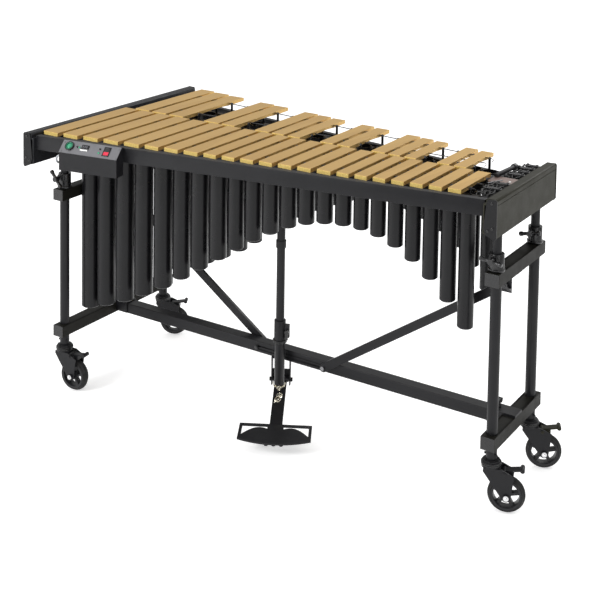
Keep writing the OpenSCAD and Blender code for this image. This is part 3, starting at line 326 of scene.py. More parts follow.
BLACK = powder_coat(
    "black_powder_coat", (0.0062, 0.0062, 0.0074), (0.0090, 0.0090, 0.0105), 0.36, 0.46, shine=0.24)
TUBE = powder_coat(
    "resonator_black", (0.0048, 0.0048, 0.0056), (0.0064, 0.0064, 0.0074), 0.26, 0.34,
    grain=90, bump=0.04, wear=0, shine=0.24)
BOARD = powder_coat(
    "board_grey", (0.0225, 0.0217, 0.0150), (0.0285, 0.0275, 0.0195), 0.44, 0.54,
    grain=1100, bump=0.35, shine=0.10)
CROSSBAR = powder_coat(
    "crossbar_black", (0.0085, 0.0083, 0.0066), (0.0115, 0.0112, 0.0090), 0.42, 0.52, shine=0.09)
END_BLACK = powder_coat(
    "end_plate_black", (0.0040, 0.0040, 0.0048), (0.0062, 0.0062, 0.0072), 0.30, 0.42,
    grain=1200, bump=0.2, wear=0.9, shine=0.22)
# painted shade: the same grey board as the high end, painted darker and bluer because the low end board's
# inner side is seen in shade
SHADED_BOARD = powder_coat(
    "board_grey_painted_shade", (0.0085, 0.0090, 0.0105), (0.0125, 0.0130, 0.0150), 0.40, 0.52,
    grain=1100, bump=0.30, shine=0.28)
BRACKET_PLATE_W = 60.2 * MM
BRACKET_PLATE_TOP = 67.3 * MM
bracket_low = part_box("motor_bracket")[0]
BRONZE = bracket_coat("bronze_plate", bracket_low.y + BRACKET_PLATE_W, bracket_low.z + BRACKET_PLATE_TOP)
GOLD = bar_metal("gold_bars")
STEEL = bright_metal("bright_steel", (0.72, 0.72, 0.73))
GREY_ROD = bright_metal("grey_rod", (0.22, 0.22, 0.23), 0.30, 0.45, (200, 200, 200))
NICKEL = bright_metal("nickel_chain", (0.78, 0.74, 0.62), 0.12, 0.24, (200, 200, 200))
SILVER = bright_metal("silver_panel", (0.205, 0.205, 0.216), 0.38, 0.50, (25, 900, 900))
BLACK_PLASTIC = plastic(
    "black_plastic", (0.0045, 0.0045, 0.005), (0.0085, 0.0085, 0.0095), 0.20, 0.36, grain=900, bump=0.08)
GLOSS_BLACK = plastic("gloss_black", (0.004, 0.004, 0.005), (0.010, 0.010, 0.011), 0.10, 0.20, 600, 0.04)
GREEN = plastic("green_plastic", (0.004, 0.10, 0.05), (0.008, 0.16, 0.085), 0.18, 0.30, 900, 0.05)
CABLE_GREY = plastic("grey_cable", (0.30, 0.31, 0.33), (0.38, 0.39, 0.41), 0.4, 0.55)
WHITE = plastic("white_plastic", (0.72, 0.72, 0.70), (0.82, 0.82, 0.80), 0.3, 0.45)
RUBBER = plastic("black_rubber", (0.010, 0.010, 0.010), (0.020, 0.020, 0.020), 0.6, 0.8, 1800, 0.3)
FELT = woven("black_felt", (0.006, 0.006, 0.007), (0.035, 0.035, 0.038), 0.0022)
CORD = woven("black_cord", (0.008, 0.008, 0.009), (0.05, 0.05, 0.055), 0.0013)
SEGMENTS = plastic("grey_segments", (0.05, 0.05, 0.06), (0.09, 0.09, 0.1), 0.2, 0.3)
GREEN_LENS = glowing("green_lens", (0.02, 0.30, 0.15), 0.12)


# ---------- CAD nodes: materials and rounded edges ----------

def paint(material, *names):
    for name in names:
        mesh = NODES[name].data
        mesh.materials.clear()
        mesh.materials.append(material)


def round_edges(name, width_mm):
    """Joins the split corners of a CAD mesh and rounds its sharp edges, without touching its vertices."""
    obj = NODES[name]
    weld = obj.modifiers.new("join", "WELD")
    weld.merge_threshold = 1e-6
    bevel = obj.modifiers.new("round", "BEVEL")
    bevel.width = width_mm * MM
    bevel.segments = 2
    bevel.limit_method = "ANGLE"
    bevel.angle_limit = math.radians(40)
    bevel.use_clamp_overlap = True
    bevel.harden_normals = True


def each_corner(prefix):
    return [prefix + corner for corner in CORNERS]


paint(CROSSBAR, "crossbars")
paint(BLACK, "legs", "stretcher_beam", "frame_brackets", "braces", "caster_stems", "keyboard_rails",
      "resonator_rails", "control_box", "damper_bar", "damper_guides", "pull_rod", "rod_sleeve",
      "pedal", "posts", "pedal_bracket", *each_corner("fork_"), *each_corner("brake_"))
paint(BLACK_PLASTIC, "tube_plugs", "leg_clamps", "end_screws", "tube_caps", "cord_posts", "motor",
      "rod_lever", *each_corner("clamp_knob_"))
paint(BOARD, "end_board_high", "brake_back_high")
# the low end board takes the painted-shade copy of the board grey
paint(SHADED_BOARD, "end_board_low")
paint(END_BLACK, "end_plates")
paint(GOLD, "natural_bars", "accidental_bars")
paint(TUBE, "natural_tubes", "accidental_tubes")
paint(STEEL, "motor_pulley", "natural_fans", "accidental_fans", "damper_springs")
paint(NICKEL, "rod_chain")
paint(BRONZE, "motor_bracket")
paint(SILVER, "control_panel")
paint(GREEN, "power_switch")
paint(CABLE_GREY, "power_cable")
paint(RUBBER, "drive_belts")
paint(FELT, "damper_felt")
paint(CORD, "cords")

rocker_low, rocker_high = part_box("fan_rocker")
paint(two_tone("rocker_plastic", (rocker_low.z + rocker_high.z) / 2), "fan_rocker")
beam_low, beam_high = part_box("stretcher_beam")
PLATED_FROM = (0.0, -1.0, 0.0)
PLATED_TO = (beam_high.x * 0.5, beam_low.y, beam_high.z)
paint(bolts_metal("frame_bolts", PLATED_FROM, PLATED_TO), "frame_bolts")

ROUNDING_MM = {
    "natural_bars": 0.8, "accidental_bars": 0.8, "crossbars": 2.2, "stretcher_beam": 2.2, "braces": 1.0,
    "keyboard_rails": 0.9, "end_plates": 0.5, "frame_brackets": 0.8, "tube_plugs": 0.8, "leg_clamps": 0.8,
    "pedal": 0.8, "pedal_bracket": 0.8, "control_box": 0.6, "control_panel": 0.3, "motor_bracket": 0.5,
    "damper_bar": 0.6, "rod_sleeve": 0.6, "rod_lever": 0.6, "frame_bolts": 0.5, "tube_caps": 0.4,
    "motor": 1.2, "resonator_rails": 0.4, "fan_rocker": 0.3, "power_switch": 0.4,
    "end_board_low": 0.5, "end_board_high": 0.5,
}
for corner in CORNERS:
    ROUNDING_MM["clamp_knob_" + corner] = 0.6
    ROUNDING_MM["fork_" + corner] = 0.6
    ROUNDING_MM["brake_" + corner] = 0.8
    ROUNDING_MM["wheel_" + corner] = 0.6
for node_name, width in ROUNDING_MM.items():
    round_edges(node_name, width)

WHEEL_CORE_R = 0.041
for corner in CORNERS:
    spin = JOINTS["wheel_spin_" + corner]
    paint(rubber_and_core("wheel_" + corner, spin["pos_m"], spin["axis"], WHEEL_CORE_R), "wheel_" + corner)


# ---------- mesh helpers ----------

def add_piece(name, bm, material, body, smooth_angle=35):
    mesh = bpy.data.meshes.new(name)
    bmesh.ops.remove_doubles(bm, verts=bm.verts, dist=1e-7)
    bmesh.ops.recalc_face_normals(bm, faces=bm.faces)
    bm.to_mesh(mesh)
    bm.free()
    mesh.shade_smooth()
    mesh.set_sharp_from_angle(angle=math.radians(smooth_angle))
    mesh.materials.append(material)
    obj = bpy.data.objects.new(name, mesh)
    bpy.context.scene.collection.objects.link(obj)
    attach(obj, body)
    return obj


def lathe(bm, profile, place, steps):
    """Revolves (radius, height) points, in metres, about place's z axis. Ends on the axis close up."""
    turns = [2 * math.pi * k / steps for k in range(steps)]
    rings = []
    for radius, height in profile:
        if radius < 1e-9:
            rings.append([bm.verts.new(place @ Vector((0, 0, height)))])
            continue
        ring = [Vector((radius * math.cos(t), radius * math.sin(t), height)) for t in turns]
        rings.append([bm.verts.new(place @ point) for point in ring])
    for a, b in zip(rings, rings[1:]):
        for k in range(steps):
            m = (k + 1) % steps
            face = [a[k % len(a)], a[m % len(a)], b[m % len(b)], b[k % len(b)]]
            unique = list(dict.fromkeys(face))
            if len(unique) > 2:
                bm.faces.new(unique)


def bridge(bm, rings):
    """Quads between each ring of vertices and the next."""
    for a, b in zip(rings, rings[1:]):
        for n in range(len(a)):
            m = (n + 1) % len(a)
            bm.faces.new((a[n], a[m], b[m], b[n]))


def cap_ends(bm, rings):
    bm.faces.new(rings[0])
    bm.faces.new(list(reversed(rings[-1])))


def sweep(bm, points, radius, sides):
    """Round tube along a list of points, closed at both ends."""
    rings = []
    up = Vector((0.13, 0.21, 0.97)).normalized()
    for k, point in enumerate(points):
        ahead = points[min(k + 1, len(points) - 1)]
        behind = points[max(k - 1, 0)]
        along = (ahead - behind).normalized()
        side = along.cross(up).normalized()
        up = side.cross(along).normalized()
        rings.append([
            bm.verts.new(point + radius * (math.cos(t) * side + math.sin(t) * up))
            for t in (2 * math.pi * n / sides for n in range(sides))])
    bridge(bm, rings)
    cap_ends(bm, rings)


def block(bm, low, high, rounding, place=Matrix.Identity(4)):
    """Box from low to high in place's frame, with rounded edges."""
    centre = (Vector(low) + Vector(high)) / 2
    size = Vector(high) - Vector(low)
    made = bmesh.ops.create_cube(bm, size=1.0)
    bmesh.ops.transform(
        bm, matrix=place @ Matrix.Translation(centre) @ Matrix.Diagonal((*size, 1.0)), verts=made["verts"])
    edges = list({e for v in made["verts"] for e in v.link_edges})
    bmesh.ops.bevel(bm, geom=edges, offset=rounding, segments=3, profile=0.5, affect="EDGES")


def smooth_path(points, per_span=8):
    """Catmull-Rom curve through the points."""
    points = [Vector(p) for p in points]
    full = [points[0] * 2 - points[1], *points, points[-1] * 2 - points[-2]]
    path = []
    for a, b, c, d in zip(full, full[1:], full[2:], full[3:]):
        for k in range(per_span):
            t = k / per_span
            path.append(0.5 * (2 * b + (c - a) * t + (2 * a - 5 * b + 4 * c - d) * t * t
                               + (3 * b - a - 3 * c + d) * t ** 3))
    path.append(points[-1])
    return path


def surface_tree(node):
    """A node's faces, for finding points on its surface."""
    mesh = NODES[node].data
    return BVHTree.FromPolygons([v.co for v in mesh.vertices], [p.vertices for p in mesh.polygons])


# ---------- control panel ----------

rocker_joint = JOINTS["fan_rocker_tilt"]
panel_x = Vector(rocker_joint["axis"]).normalized()
panel_z = -Vector(JOINTS["power_push"]["axis"]).normalized()
panel_y = panel_z.cross(panel_x)
# places on the panel in millimetres: along it, and up its slope
POWER_AT = (29, 24)
DISPLAY_AT = (84, 24)
STRIP_AT = (83, 24)
ROCKER_AT = (161, 22)
BUTTONS_AT = ((56, 25), (136, 28))
LAMPS_AT = ((64, 24), (136, 15))
ROCKER_PIVOT_HEIGHT = 0.5
panel_origin = Vector(rocker_joint["pos_m"]) - MM * (
    ROCKER_AT[0] * panel_x + ROCKER_AT[1] * panel_y + ROCKER_PIVOT_HEIGHT * panel_z)
PANEL = Matrix((
    (panel_x.x, panel_y.x, panel_z.x, panel_origin.x),
    (panel_x.y, panel_y.y, panel_z.y, panel_origin.y),
    (panel_x.z, panel_y.z, panel_z.z, panel_origin.z),
    (0, 0, 0, 1)))
PANEL_TOP = 1.7 * MM


def on_panel(x, y, z=0.0):
    """Place on the sloping panel, x and y in millimetres, z in metres above its plane."""
    return PANEL @ Matrix.Translation((x * MM, y * MM, z))


def display():
    """Dark bezel with three segments, and the pale strip below it."""
    bezel_height = 0.0026
    segment_pitch = 0.0065
    bm = bmesh.new()
    block(bm, (-0.0125, -0.004, 0), (0.0125, 0.010, bezel_height), 0.0006, on_panel(*DISPLAY_AT, PANEL_TOP))
    add_piece("display_window", bm, GLOSS_BLACK, "keyboard")
    bm = bmesh.new()
    for k in range(3):
        left = -0.0085 + k * segment_pitch
        block(bm, (left, 0.0002, 0), (left + 0.004, 0.0066, 0.0003), 0.0001,
              on_panel(*DISPLAY_AT, PANEL_TOP + bezel_height))
    add_piece("display_segments", bm, SEGMENTS, "keyboard")
    bm = bmesh.new()
    block(bm, (-0.013, -0.0095, 0), (0.013, -0.0058, 0.0022), 0.0005, on_panel(*STRIP_AT, PANEL_TOP))
    add_piece("display_strip", bm, WHITE, "keyboard")


def buttons_and_lamps():
    """Small domed buttons, and lamps that are a little wider and flatter."""
    button = [(0, 0.0034), (0.0016, 0.0032), (0.0026, 0.0024), (0.0029, 0.0012), (0.0029, 0)]
    lamp = [(radius * 1.1, height * 0.8) for radius, height in button]
    for name, places, dome, material, slot in (
            ("panel_buttons", BUTTONS_AT, button, BLACK_PLASTIC, "black_plastic"),
            ("panel_lamps", LAMPS_AT, lamp, GREEN_LENS, "green_plastic")):
        bm = bmesh.new()
        for x, y in places:
            lathe(bm, dome, on_panel(x, y, PANEL_TOP), 24)
        add_piece(name, bm, material, "keyboard")


def switch_trim():
    """Collar round the power switch, frame round the rocker, and the switch's own lens."""
    collar = [(0.0122, 0), (0.0122, 0.0040), (0.0128, 0.0048),
              (0.0140, 0.0048), (0.0148, 0.0040), (0.0148, 0)]
    bm = bmesh.new()
    lathe(bm, collar, on_panel(*POWER_AT, PANEL_TOP), 48)
    add_piece("power_collar", bm, GLOSS_BLACK, "keyboard")
    outer_x, inner_x = 0.0112, 0.0089
    outer_y, inner_y = 0.0152, 0.0126
    sides = (
        ((-outer_x, -outer_y), (-inner_x, outer_y)),
        ((inner_x, -outer_y), (outer_x, outer_y)),
        ((-outer_x, -outer_y), (outer_x, -inner_y)),
        ((-outer_x, inner_y), (outer_x, outer_y)))
    bm = bmesh.new()
    for low, high in sides:
        block(bm, (*low, 0), (*high, 0.0024), 0.0004, on_panel(*ROCKER_AT, PANEL_TOP))
    add_piece("rocker_frame", bm, GLOSS_BLACK, "keyboard")
    lens = [(0, 0.0022), (0.0035, 0.0020), (0.0062, 0.0012), (0.0078, 0)]
    bm = bmesh.new()
    lathe(bm, lens, on_panel(*POWER_AT, 0.0040), 32)
    add_piece("power_lens", bm, GREEN_LENS, "power_switch")


# ---------- fasteners ----------

def screw_head(bm, place, radius, height):
    """Pan head with a raised washer rim."""
    shape = ((0, 1), (0.30, 1), (0.34, 0.55), (0.42, 0.55), (0.46, 1),
             (0.72, 0.93), (0.93, 0.6), (1, 0.18), (1, 0))
    lathe(bm, [(radius * across, height * up) for across, up in shape], place, 24)


def end_screws():
    """Pan-headed screws in place of the plain discs on the end plates."""
    bm = bmesh.new()
    for centre in solid_centres("end_screws"):
        outward = -1 if centre.y < 0 else 1
        face_y = centre.y - outward * 0.001
        turn = Matrix.Rotation(math.radians(90 if outward < 0 else -90), 4, "X")
        screw_head(bm, Matrix.Translation((centre.x, face_y, centre.z)) @ turn, 0.0042, 0.0022)
    heads = add_piece("end_screw_heads", bm, BLACK_PLASTIC, "keyboard")
    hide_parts("end_screws")


def solid_centres(node):
    """Centre of each separate solid of a CAD node, found by joining its triangles."""
    mesh = NODES[node].data
    bm = bmesh.new()
    bm.from_mesh(mesh)
    bmesh.ops.remove_doubles(bm, verts=bm.verts, dist=1e-6)
    left = set(bm.verts)
    centres = []
    while left:
        stack = [left.pop()]
        group = [stack[0]]
        while stack:
            for edge in stack.pop().link_edges:
                for vert in edge.verts:
                    if vert in left:
                        left.remove(vert)
                        stack.append(vert)
                        group.append(vert)
        low = Vector([min(v.co[k] for v in group) for k in range(3)])
        high = Vector([max(v.co[k] for v in group) for k in range(3)])
        centres.append((low + high) / 2)
    bm.free()
    return sorted(centres, key=lambda c: (round(c.x, 4), round(c.y, 4), round(c.z, 4)))


def axle_caps():
    """Bright nuts with a washer over the ends of the caster axles."""
    axle_end = 28.5 * MM
    nut = [(0, 0.0036), (0.0022, 0.0035), (0.0030, 0.0028), (0.0032, 0.0018), (0.0046, 0.0018),
           (0.0050, 0.0012), (0.0072, 0.0012), (0.0076, 0.0006), (0.0076, 0)]
    for corner in CORNERS:
        spin = JOINTS["wheel_spin_" + corner]
        axis = Vector(spin["axis"]).normalized()
        centre = Vector(spin["pos_m"])
        bm = bmesh.new()
        for side in (-1, 1):
            outward = (side * axis).to_track_quat("Z", "Y").to_matrix().to_4x4()
            lathe(bm, nut, Matrix.Translation(centre + side * axle_end * axis) @ outward, 24)
        add_piece("axle_caps_" + corner, bm, STEEL, "fork_" + corner)


def thread(bm, start, axis, radius, length, pitch, depth):
    """Raised helical ridge of a screw thread from start along axis."""
    per_turn = 16
    turn = axis.to_track_quat("Z", "Y")
    steps = int(length / pitch * per_turn)
    points = []
    for k in range(steps + 1):
        t = 2 * math.pi * k / per_turn
        points.append(start + turn @ Vector((
            radius * math.cos(t), radius * math.sin(t), pitch * k / per_turn)))
    sweep(bm, points, depth, 5)


def clamp_threads():
    """Thread on the bare part of each clamp screw."""
    leg_to_thread = 30.8 * MM
    radius, length, pitch, depth = 3.8 * MM, 6.2 * MM, 1.25 * MM, 0.35 * MM
    for corner in CORNERS:
        x, y, z = JOINTS["clamp_screw_" + corner]["pos_m"]
        bm = bmesh.new()
        thread(bm, Vector((x, y - leg_to_thread, z)), Vector((0, 1, 0)), radius, length, pitch, depth)
        add_piece("clamp_thread_" + corner, bm, STEEL, "clamp_knob_" + corner)


# ---------- soft and sprung parts ----------

def coil_springs():
    """Coil springs round the damper's guide pins."""
    low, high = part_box("damper_springs")
    coils, per_coil, wire, radius = 5, 20, 0.0007, 0.0052
    bm = bmesh.new()
    for centre in solid_centres("damper_springs"):
        steps = coils * per_coil
        points = []
        for k in range(steps + 1):
            t = k / steps
            rise = max(0.0, min(1.0, (t * coils - 0.8) / (coils - 1.6)))
            turn = 2 * math.pi * coils * t
            points.append(Vector((
                centre.x + radius * math.cos(turn), centre.y + radius * math.sin(turn),
                low.z + wire + rise * (high.z - low.z - 2 * wire))))
        sweep(bm, points, wire, 8)
    springs = add_piece("damper_coils", bm, STEEL, "keyboard")
    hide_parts("damper_springs")
    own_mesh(springs)


def damper_felt():
    """Long felt pad with a slightly crowned, fuzzy top and softened edges."""
    low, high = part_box("damper_felt")
    bm = bmesh.new()
    columns = 260
    section = []
    half = (high.y - low.y) / 2
    mid = (high.y + low.y) / 2
    thick = high.z - low.z
    for y, z in ((-1.0, 0.0), (-1.0, 0.55), (-0.97, 0.82), (-0.88, 0.96), (-0.6, 1.0), (-0.2, 1.0),
                 (0.2, 1.0), (0.6, 1.0), (0.88, 0.96), (0.97, 0.82), (1.0, 0.55), (1.0, 0.0)):
        section.append((y * half, z * thick))
    rings = []
    for k in range(columns + 1):
        x = low.x + (high.x - low.x) * k / columns
        ring = []
        for y, z in section:
            wobble = noise.noise(Vector((x * 60, y * 150, z * 200))) * 0.0004
            lift = wobble if 0 < z < thick else min(0.0, wobble)
            ring.append(bm.verts.new((x, mid + y * (1 + wobble * 20), low.z + max(0.0, z + lift))))
        rings.append(ring)
    bridge(bm, rings)
    cap_ends(bm, rings)
    pad = add_piece("damper_felt_pad", bm, FELT, "damper", 60)
    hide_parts("damper_felt")


def braided_cords():
    """Two twisted strands in place of each plain cord."""
    step, lay = 2.2 * MM, 11 * MM
    strand_offset, strand_radius = 0.75 * MM, 1.02 * MM
    bm = bmesh.new()
    for centre in solid_centres("cords"):
        ends = cord_ends(centre)
        along = ends[1] - ends[0]
        side = along.cross(Vector((0, 0, 1))).normalized()
        up = side.cross(along).normalized()
        steps = int(along.length / step)
        for strand in (0.0, math.pi):
            points = []
            for k in range(steps + 1):
                turn = strand + 2 * math.pi * k * step / lay
                offset = strand_offset * (math.cos(turn) * side + math.sin(turn) * up)
                points.append(ends[0] + along * (k / steps) + offset)
            sweep(bm, points, strand_radius, 6)
    rope = add_piece("twisted_cords", bm, CORD, "keyboard")
    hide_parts("cords")


def cord_ends(centre):
    """The two end points of the straight cord whose middle is at centre."""
    steepest, slack = 0.13, 4 * MM
    reach = [v.co for v in NODES["cords"].data.vertices if abs(v.co.x - centre.x) > 0.2]
    near = [c for c in reach if abs(c.y - centre.y) < steepest * abs(c.x - centre.x) + slack]
    left = [c for c in near if c.x < centre.x]
    right = [c for c in near if c.x > centre.x]
    first = sum((Vector(c) for c in left), Vector()) / len(left)
    last = sum((Vector(c) for c in right), Vector()) / len(right)
    return first, last


def motor_leads():
    """Two thin leads from the motor to the back of the keyboard, tied along the high end board."""
    low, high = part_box("motor")
    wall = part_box("motor_bracket")[1].x
    mid = (low + high) / 2
    start = Vector((high.x + 0.0005, mid.y, mid.z))
    for k, (shift, material) in enumerate(((0.0, RUBBER), (0.006, CABLE_GREY))):
        bm = bmesh.new()
        points = smooth_path([
            start + Vector((-0.002, shift, 0.004)),
            start + Vector((0.002, 0.012 + shift, 0.009)),
            Vector((wall - 0.011, high.y + 0.019 + shift, high.z - 0.016)),
            Vector((wall - 0.008 - shift, high.y + 0.063, high.z - 0.030)),
            Vector((wall - 0.007 - shift, high.y + 0.088, high.z - 0.040))])
        sweep(bm, points, 0.0016, 8)
        add_piece(f"motor_lead_{k}", bm, material, "keyboard")


class LoomSpace:
    """Where the cables and clips lie, measured from the high end's wall, the motor's line and the deck."""
    deck_above_motor = 36 * MM

    def __init__(self):
        self.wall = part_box("motor_bracket")[1].x
        self.mid, motor_z = JOINTS["motor_spin"]["pos_m"][1:]
        self.deck = motor_z + self.deck_above_motor

    def at(self, inward, along, up):
        return Vector((self.wall - inward, self.mid + along, self.deck + up))


def cable_loom():
    """Six wavy cables side by side on each side of the motor bracket."""
    space = LoomSpace()
    pitch, sway, ripple = 8.5 * MM, 3.5 * MM, 2.5 * MM
    spans = 8
    bm = bmesh.new()
    for k in range(6):
        for start, end in ((0.034, 0.182), (-0.150, -0.032)):
            points = []
            for n in range(spans + 1):
                swing = sway * math.sin(2.3 * n + 1.7 * k)
                lift = 0.0035 + 0.0035 * (k % 2) + ripple * abs(math.sin(1.3 * n + k))
                points.append(space.at(0.008 + pitch * k + swing, start + (end - start) * n / spans, lift))
            sweep(bm, smooth_path(points, 5), 0.0019 + 0.0005 * (k % 3), 8)
    add_piece("cable_loom", bm, RUBBER, "keyboard")


def loom_clips():
    """Clips across the cables, each held by a button at both ends."""
    space = LoomSpace()
    depth, height, from_wall = 13 * MM, 13.5 * MM, 4 * MM
    button = [(0, 0.0035), (0.0030, 0.0032), (0.0042, 0.0018), (0.0044, 0)]
    bm = bmesh.new()
    for along, width in ((0.060, 0.050), (0.098, 0.034), (0.134, 0.052),
                         (0.168, 0.040), (-0.046, 0.040), (-0.100, 0.052)):
        low = space.at(from_wall + width, along - 0.006, 0.0004)
        block(bm, low, low + Vector((width, depth, height)), rounding=0.0012)
        for end in (0.006, width - 0.006):
            lathe(bm, button, Matrix.Translation(low + Vector((end, depth / 2, 0.0133))), 16)
    add_piece("loom_clips", bm, BLACK_PLASTIC, "keyboard")


def terminal_screws():
    """Two terminals on the deck and one screw in the bracket's plate."""
    space = LoomSpace()
    plate_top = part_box("motor_bracket")[0].z + BRACKET_PLATE_TOP - 0.2 * MM
    bm = bmesh.new()
    for inward, along in ((0.071, -0.020), (0.058, -0.052)):
        screw_head(bm, Matrix.Translation(space.at(inward, along, 0.0005)), 0.0042, 0.0042)
    on_plate = Vector((space.wall - 0.018, space.mid - 0.010, plate_top))
    screw_head(bm, Matrix.Translation(on_plate), 0.0036, 0.0024)
    add_piece("terminal_screws", bm, WHITE, "keyboard")


def motor_tie_rod():
    start = LoomSpace().at(0.068, -0.047, 0.006)
    half = Vector((0.013, 0.020, 0.001))
    bm = bmesh.new()
    sweep(bm, [start, start + half, start + 2 * half], 0.0026, 12)
    add_piece("motor_tie_rod", bm, GREY_ROD, "keyboard")


# ---------- pedal, pull rod and casters ----------

PEDAL_TREE = surface_tree("pedal")
PEDAL_SIDE = Vector(JOINTS["a_pedal_press"]["axis"]).normalized()
PEDAL_AHEAD = PEDAL_SIDE.cross(Vector((0, 0, 1))).normalized()


def arm_point(along, across, lift):
    """Point over the pedal's arm: distances from the hinge along and across it, and above its top face."""
    well_above = Vector((0, 0, 0.3))
    start = Vector(JOINTS["a_pedal_press"]["pos_m"]) + PEDAL_AHEAD * along + PEDAL_SIDE * across + well_above
    hit, normal = PEDAL_TREE.ray_cast(start, Vector((0, 0, -1)))[:2]
    return hit + normal * lift, normal


def chain_link(bm, centre, ahead, up, roll):
    """One oval link lying along `ahead`, rolled about it by `roll` radians."""
    length, width, wire, steps = 18.5 * MM, 14.5 * MM, 1.7 * MM, 28
    side = (Matrix.Rotation(roll, 3, ahead) @ ahead.cross(up)).normalized()
    straight = (length - width) / 2
    points = []
    for k in range(steps + 1):
        t = 2 * math.pi * k / steps
        forward = math.cos(t) * width / 2 + math.copysign(straight, math.cos(t))
        points.append(centre + ahead * forward + side * (math.sin(t) * width / 2))
    sweep(bm, points, wire, 8)


def spare_chain():
    """The free end of the chain, lying on the pedal's arm in front of the pull rod."""
    first, pitch = 70 * MM, 9 * MM
    flat_lift, rolled_lift = 2.4 * MM, 6 * MM
    bm = bmesh.new()
    previous = arm_point(0.060, 0.0, 0.0)[0]
    for k, (across, roll) in enumerate(((0.0, 0.25), (0.0045, 0.95), (-0.0025, -0.3), (-0.0060, 0.85))):
        lift = flat_lift + rolled_lift * abs(math.sin(roll))
        centre, normal = arm_point(first + pitch * k, across, lift)
        chain_link(bm, centre, (centre - previous).normalized(), normal, roll)
        previous = centre
    add_piece("spare_chain", bm, NICKEL, "pedal", 60)


def rod_wing_nut():
    """Bent wings of the nut under the pull rod's sleeve, and an eye that hangs in front of it."""
    low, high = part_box("rod_chain")
    centre = (low + high) / 2
    foot = Vector((centre.x, centre.y, high.z))
    wing = ((0.004, 0.002, -0.008), (0.011, 0.006, -0.007), (0.0165, 0.008, -0.001),
            (0.0180, 0.008, 0.006), (0.0165, 0.009, 0.0095))
    bm = bmesh.new()
    for hand in (-1, 1):
        path = [foot + PEDAL_SIDE * (hand * reach) + PEDAL_AHEAD * forward + Vector((0, 0, rise))
                for reach, forward, rise in wing]
        sweep(bm, smooth_path(path, 6), 0.0015, 10)
    eye = []
    for k in range(25):
        t = 2 * math.pi * k / 24
        eye.append(foot + PEDAL_SIDE * (0.0055 * math.sin(t)) + PEDAL_AHEAD * (0.010 + 0.004 * math.cos(t))
                   + Vector((0, 0, 0.0075 * math.cos(t) - 0.010)))
    sweep(bm, eye, 0.0014, 8)
    add_piece("rod_wing_nut", bm, NICKEL, "rod_lower", 60)


def sleeve_knurl():
    """Ribbed grip ring under the clamp of the pull rod's sleeve."""
    chain_low, chain_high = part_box("rod_chain")
    centre = (chain_low + chain_high) / 2
    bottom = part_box("rod_lever")[0].z - 13.2 * MM
    outer, depth, height, rim, ribs = 21.6 * MM, 1.1 * MM, 10 * MM, 1.2 * MM, 36
    inner = outer - 3 * MM
    bm = bmesh.new()
    rings = []
    for radius, rise in ((inner, 0.0), (outer, rim), (outer, height - rim), (inner, height)):
        ring = []
        for k in range(ribs * 4):
            t = 2 * math.pi * k / (ribs * 4)
            r = radius - (depth if k % 4 < 2 else 0.0)
            ring.append(bm.verts.new((centre.x + r * math.cos(t), centre.y + r * math.sin(t), bottom + rise)))
        rings.append(ring)
    bridge(bm, [*rings, rings[0]])
    add_piece("sleeve_knurl", bm, BLACK_PLASTIC, "rod_lower", 25)


def caster_races():
    """Grooved bearing race round the top of each caster's fork."""
    below_top = 12.5 * MM
    race = [(0.0150, -0.0008), (0.0262, -0.0008), (0.0276, 0.0004), (0.0276, 0.0020), (0.0258, 0.0034),
            (0.0276, 0.0046), (0.0276, 0.0060), (0.0262, 0.0070), (0.0150, 0.0070), (0.0150, -0.0008)]
    for corner in CORNERS:
        x, y = JOINTS["caster_swivel_" + corner]["pos_m"][:2]
        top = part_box("fork_" + corner)[1].z
        bm = bmesh.new()
        lathe(bm, race, Matrix.Translation((x, y, top - below_top)), 40)
        add_piece("race_" + corner, bm, BLACK_PLASTIC, "fork_" + corner)


def cord_hooks():
    """Bent wire hooks that hold the ends of the cords at the end boards."""
    bm = bmesh.new()
    for centre in solid_centres("cords"):
        for side, end in zip((-1, 1), cord_ends(centre)):
            loop = [end + Vector((side * (0.001 + 0.004 * math.sin(t)), 0, -0.0035 + 0.0035 * math.cos(t)))
                    for t in (math.pi * n / 10 for n in range(11))]
            sweep(bm, loop + [end + Vector((side * 0.001, 0, -0.012))], 0.0009, 8)
    add_piece("cord_hooks", bm, BLACK_PLASTIC, "keyboard")


# ---------- studio ----------

def backdrop():
    """The camera sees a white backdrop; surfaces see a soft studio, bright above and dim at the sides."""
    bpy.context.scene.view_settings.view_transform = "Standard"
    world = bpy.data.worlds.new("studio")
    bpy.context.scene.world = world
    world.use_nodes = True
    tree = world.node_tree
    background = tree.nodes["Background"]
    coords = tree.nodes.new("ShaderNodeTexCoord")
    split = tree.nodes.new("ShaderNodeSeparateXYZ")
    tree.links.new(coords.outputs["Generated"], split.inputs["Vector"])
    climb = tree.nodes.new("ShaderNodeMapRange")
    for socket, value in (("From Min", -0.1), ("From Max", 0.75), ("To Min", 0.16), ("To Max", 1.0)):
        climb.inputs[socket].default_value = value
    tree.links.new(split.outputs["Z"], climb.inputs["Value"])
    path = tree.nodes.new("ShaderNodeLightPath")
    seen = tree.nodes.new("ShaderNodeMath")
    seen.operation = "MAXIMUM"
    tree.links.new(path.outputs["Is Camera Ray"], seen.inputs[0])
    tree.links.new(climb.outputs["Result"], seen.inputs[1])
    background.inputs["Color"].default_value = (1.0, 1.0, 1.0, 1.0)
    tree.links.new(seen.outputs["Value"], background.inputs["Strength"])


def pale_floor():
    mesh = bpy.data.meshes.new("floor")
    half = 30.0
    corners = [(x, y, 0) for x, y in ((-half, -half), (half, -half), (half, half), (-half, half))]
    mesh.from_pydata(corners, [], [(0, 1, 2, 3)])
    floor = bpy.data.objects.new("floor", mesh)
    bpy.context.scene.collection.objects.link(floor)
    s = Surface("studio_floor", roughness=0.8)
    s.colour(s.mix(s.ramp(s.noise(2.5, 3), 0.3, 0.7), (0.84, 0.84, 0.84), (0.87, 0.87, 0.87)))
    s.shader.inputs["Emission Color"].default_value = (1.0, 1.0, 1.0, 1.0)
    s.shader.inputs["Emission Strength"].default_value = 0.42
    mesh.materials.append(s.material)


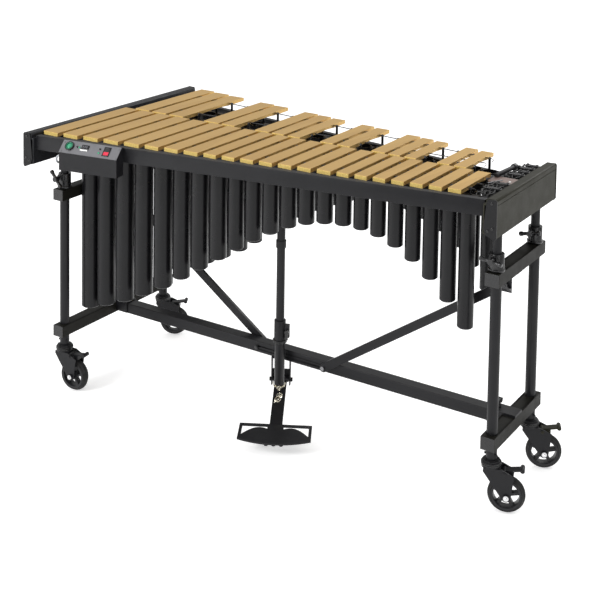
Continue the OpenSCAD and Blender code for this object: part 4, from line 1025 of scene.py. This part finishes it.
def lamps():
    middle = Vector((0, 0, 0.55))
    lights = (
        ("key", (-1.8, -3.6, 2.4), 1.4, 120.0),
        ("front", (3.2, -2.4, 1.8), 1.0, 16.0),
        ("rim", (0.8, 3.2, 2.8), 2.2, 50.0),
    )
    for name, place, size, power in lights:
        data = bpy.data.lights.new(name, "AREA")
        data.shape = "DISK"
        data.size = size
        data.energy = power
        lamp = bpy.data.objects.new(name, data)
        lamp.location = place
        lamp.rotation_euler = (middle - Vector(place)).to_track_quat("-Z", "Y").to_euler()
        bpy.context.scene.collection.objects.link(lamp)


def camera():
    """Nearly level camera before the high end, with its lens shifted down to the object."""
    place = (beam_low + beam_high) / 2
    place.z = 0.0
    place += Vector((1.95111, -3.05621, 1.82145))
    yaw, pitch, roll = 0.56985, 0.07673, 0.01492
    lens_in_widths = 2.02339
    shift_x, shift_y = 0.0031, -0.6356
    forward = Vector((-math.sin(yaw) * math.cos(pitch), math.cos(yaw) * math.cos(pitch), -math.sin(pitch)))
    level = Vector((math.cos(yaw), math.sin(yaw), 0))
    upright = level.cross(forward)
    right = math.cos(roll) * level + math.sin(roll) * upright
    up = math.cos(roll) * upright - math.sin(roll) * level
    turn = Matrix((
        (right.x, up.x, -forward.x),
        (right.y, up.y, -forward.y),
        (right.z, up.z, -forward.z)))
    data = bpy.data.cameras.new("camera")
    cam = bpy.data.objects.new("camera", data)
    bpy.context.scene.collection.objects.link(cam)
    cam.location = place
    cam.rotation_mode = "XYZ"
    cam.rotation_euler = turn.to_euler("XYZ")
    data.sensor_width = 36.0
    data.lens = data.sensor_width * lens_in_widths
    data.clip_end = 200.0
    # the shift belongs to this view only: it fades out when another view sets a quaternion rotation
    for path, amount in (("shift_x", shift_x), ("shift_y", shift_y)):
        driver = data.driver_add(path).driver
        driver.type = "SCRIPTED"
        mode = driver.variables.new()
        mode.name = "mode"
        mode.type = "SINGLE_PROP"
        mode.targets[0].id = cam
        mode.targets[0].data_path = "rotation_mode"
        driver.expression = f"{amount} * min(mode, 1)"
    bpy.context.scene.camera = cam


display()
buttons_and_lamps()
switch_trim()
end_screws()
axle_caps()
clamp_threads()
coil_springs()
damper_felt()
braided_cords()
cord_hooks()
motor_leads()
cable_loom()
loom_clips()
terminal_screws()
motor_tie_rod()
spare_chain()
rod_wing_nut()
sleeve_knurl()
caster_races()
backdrop()
pale_floor()
lamps()
camera()
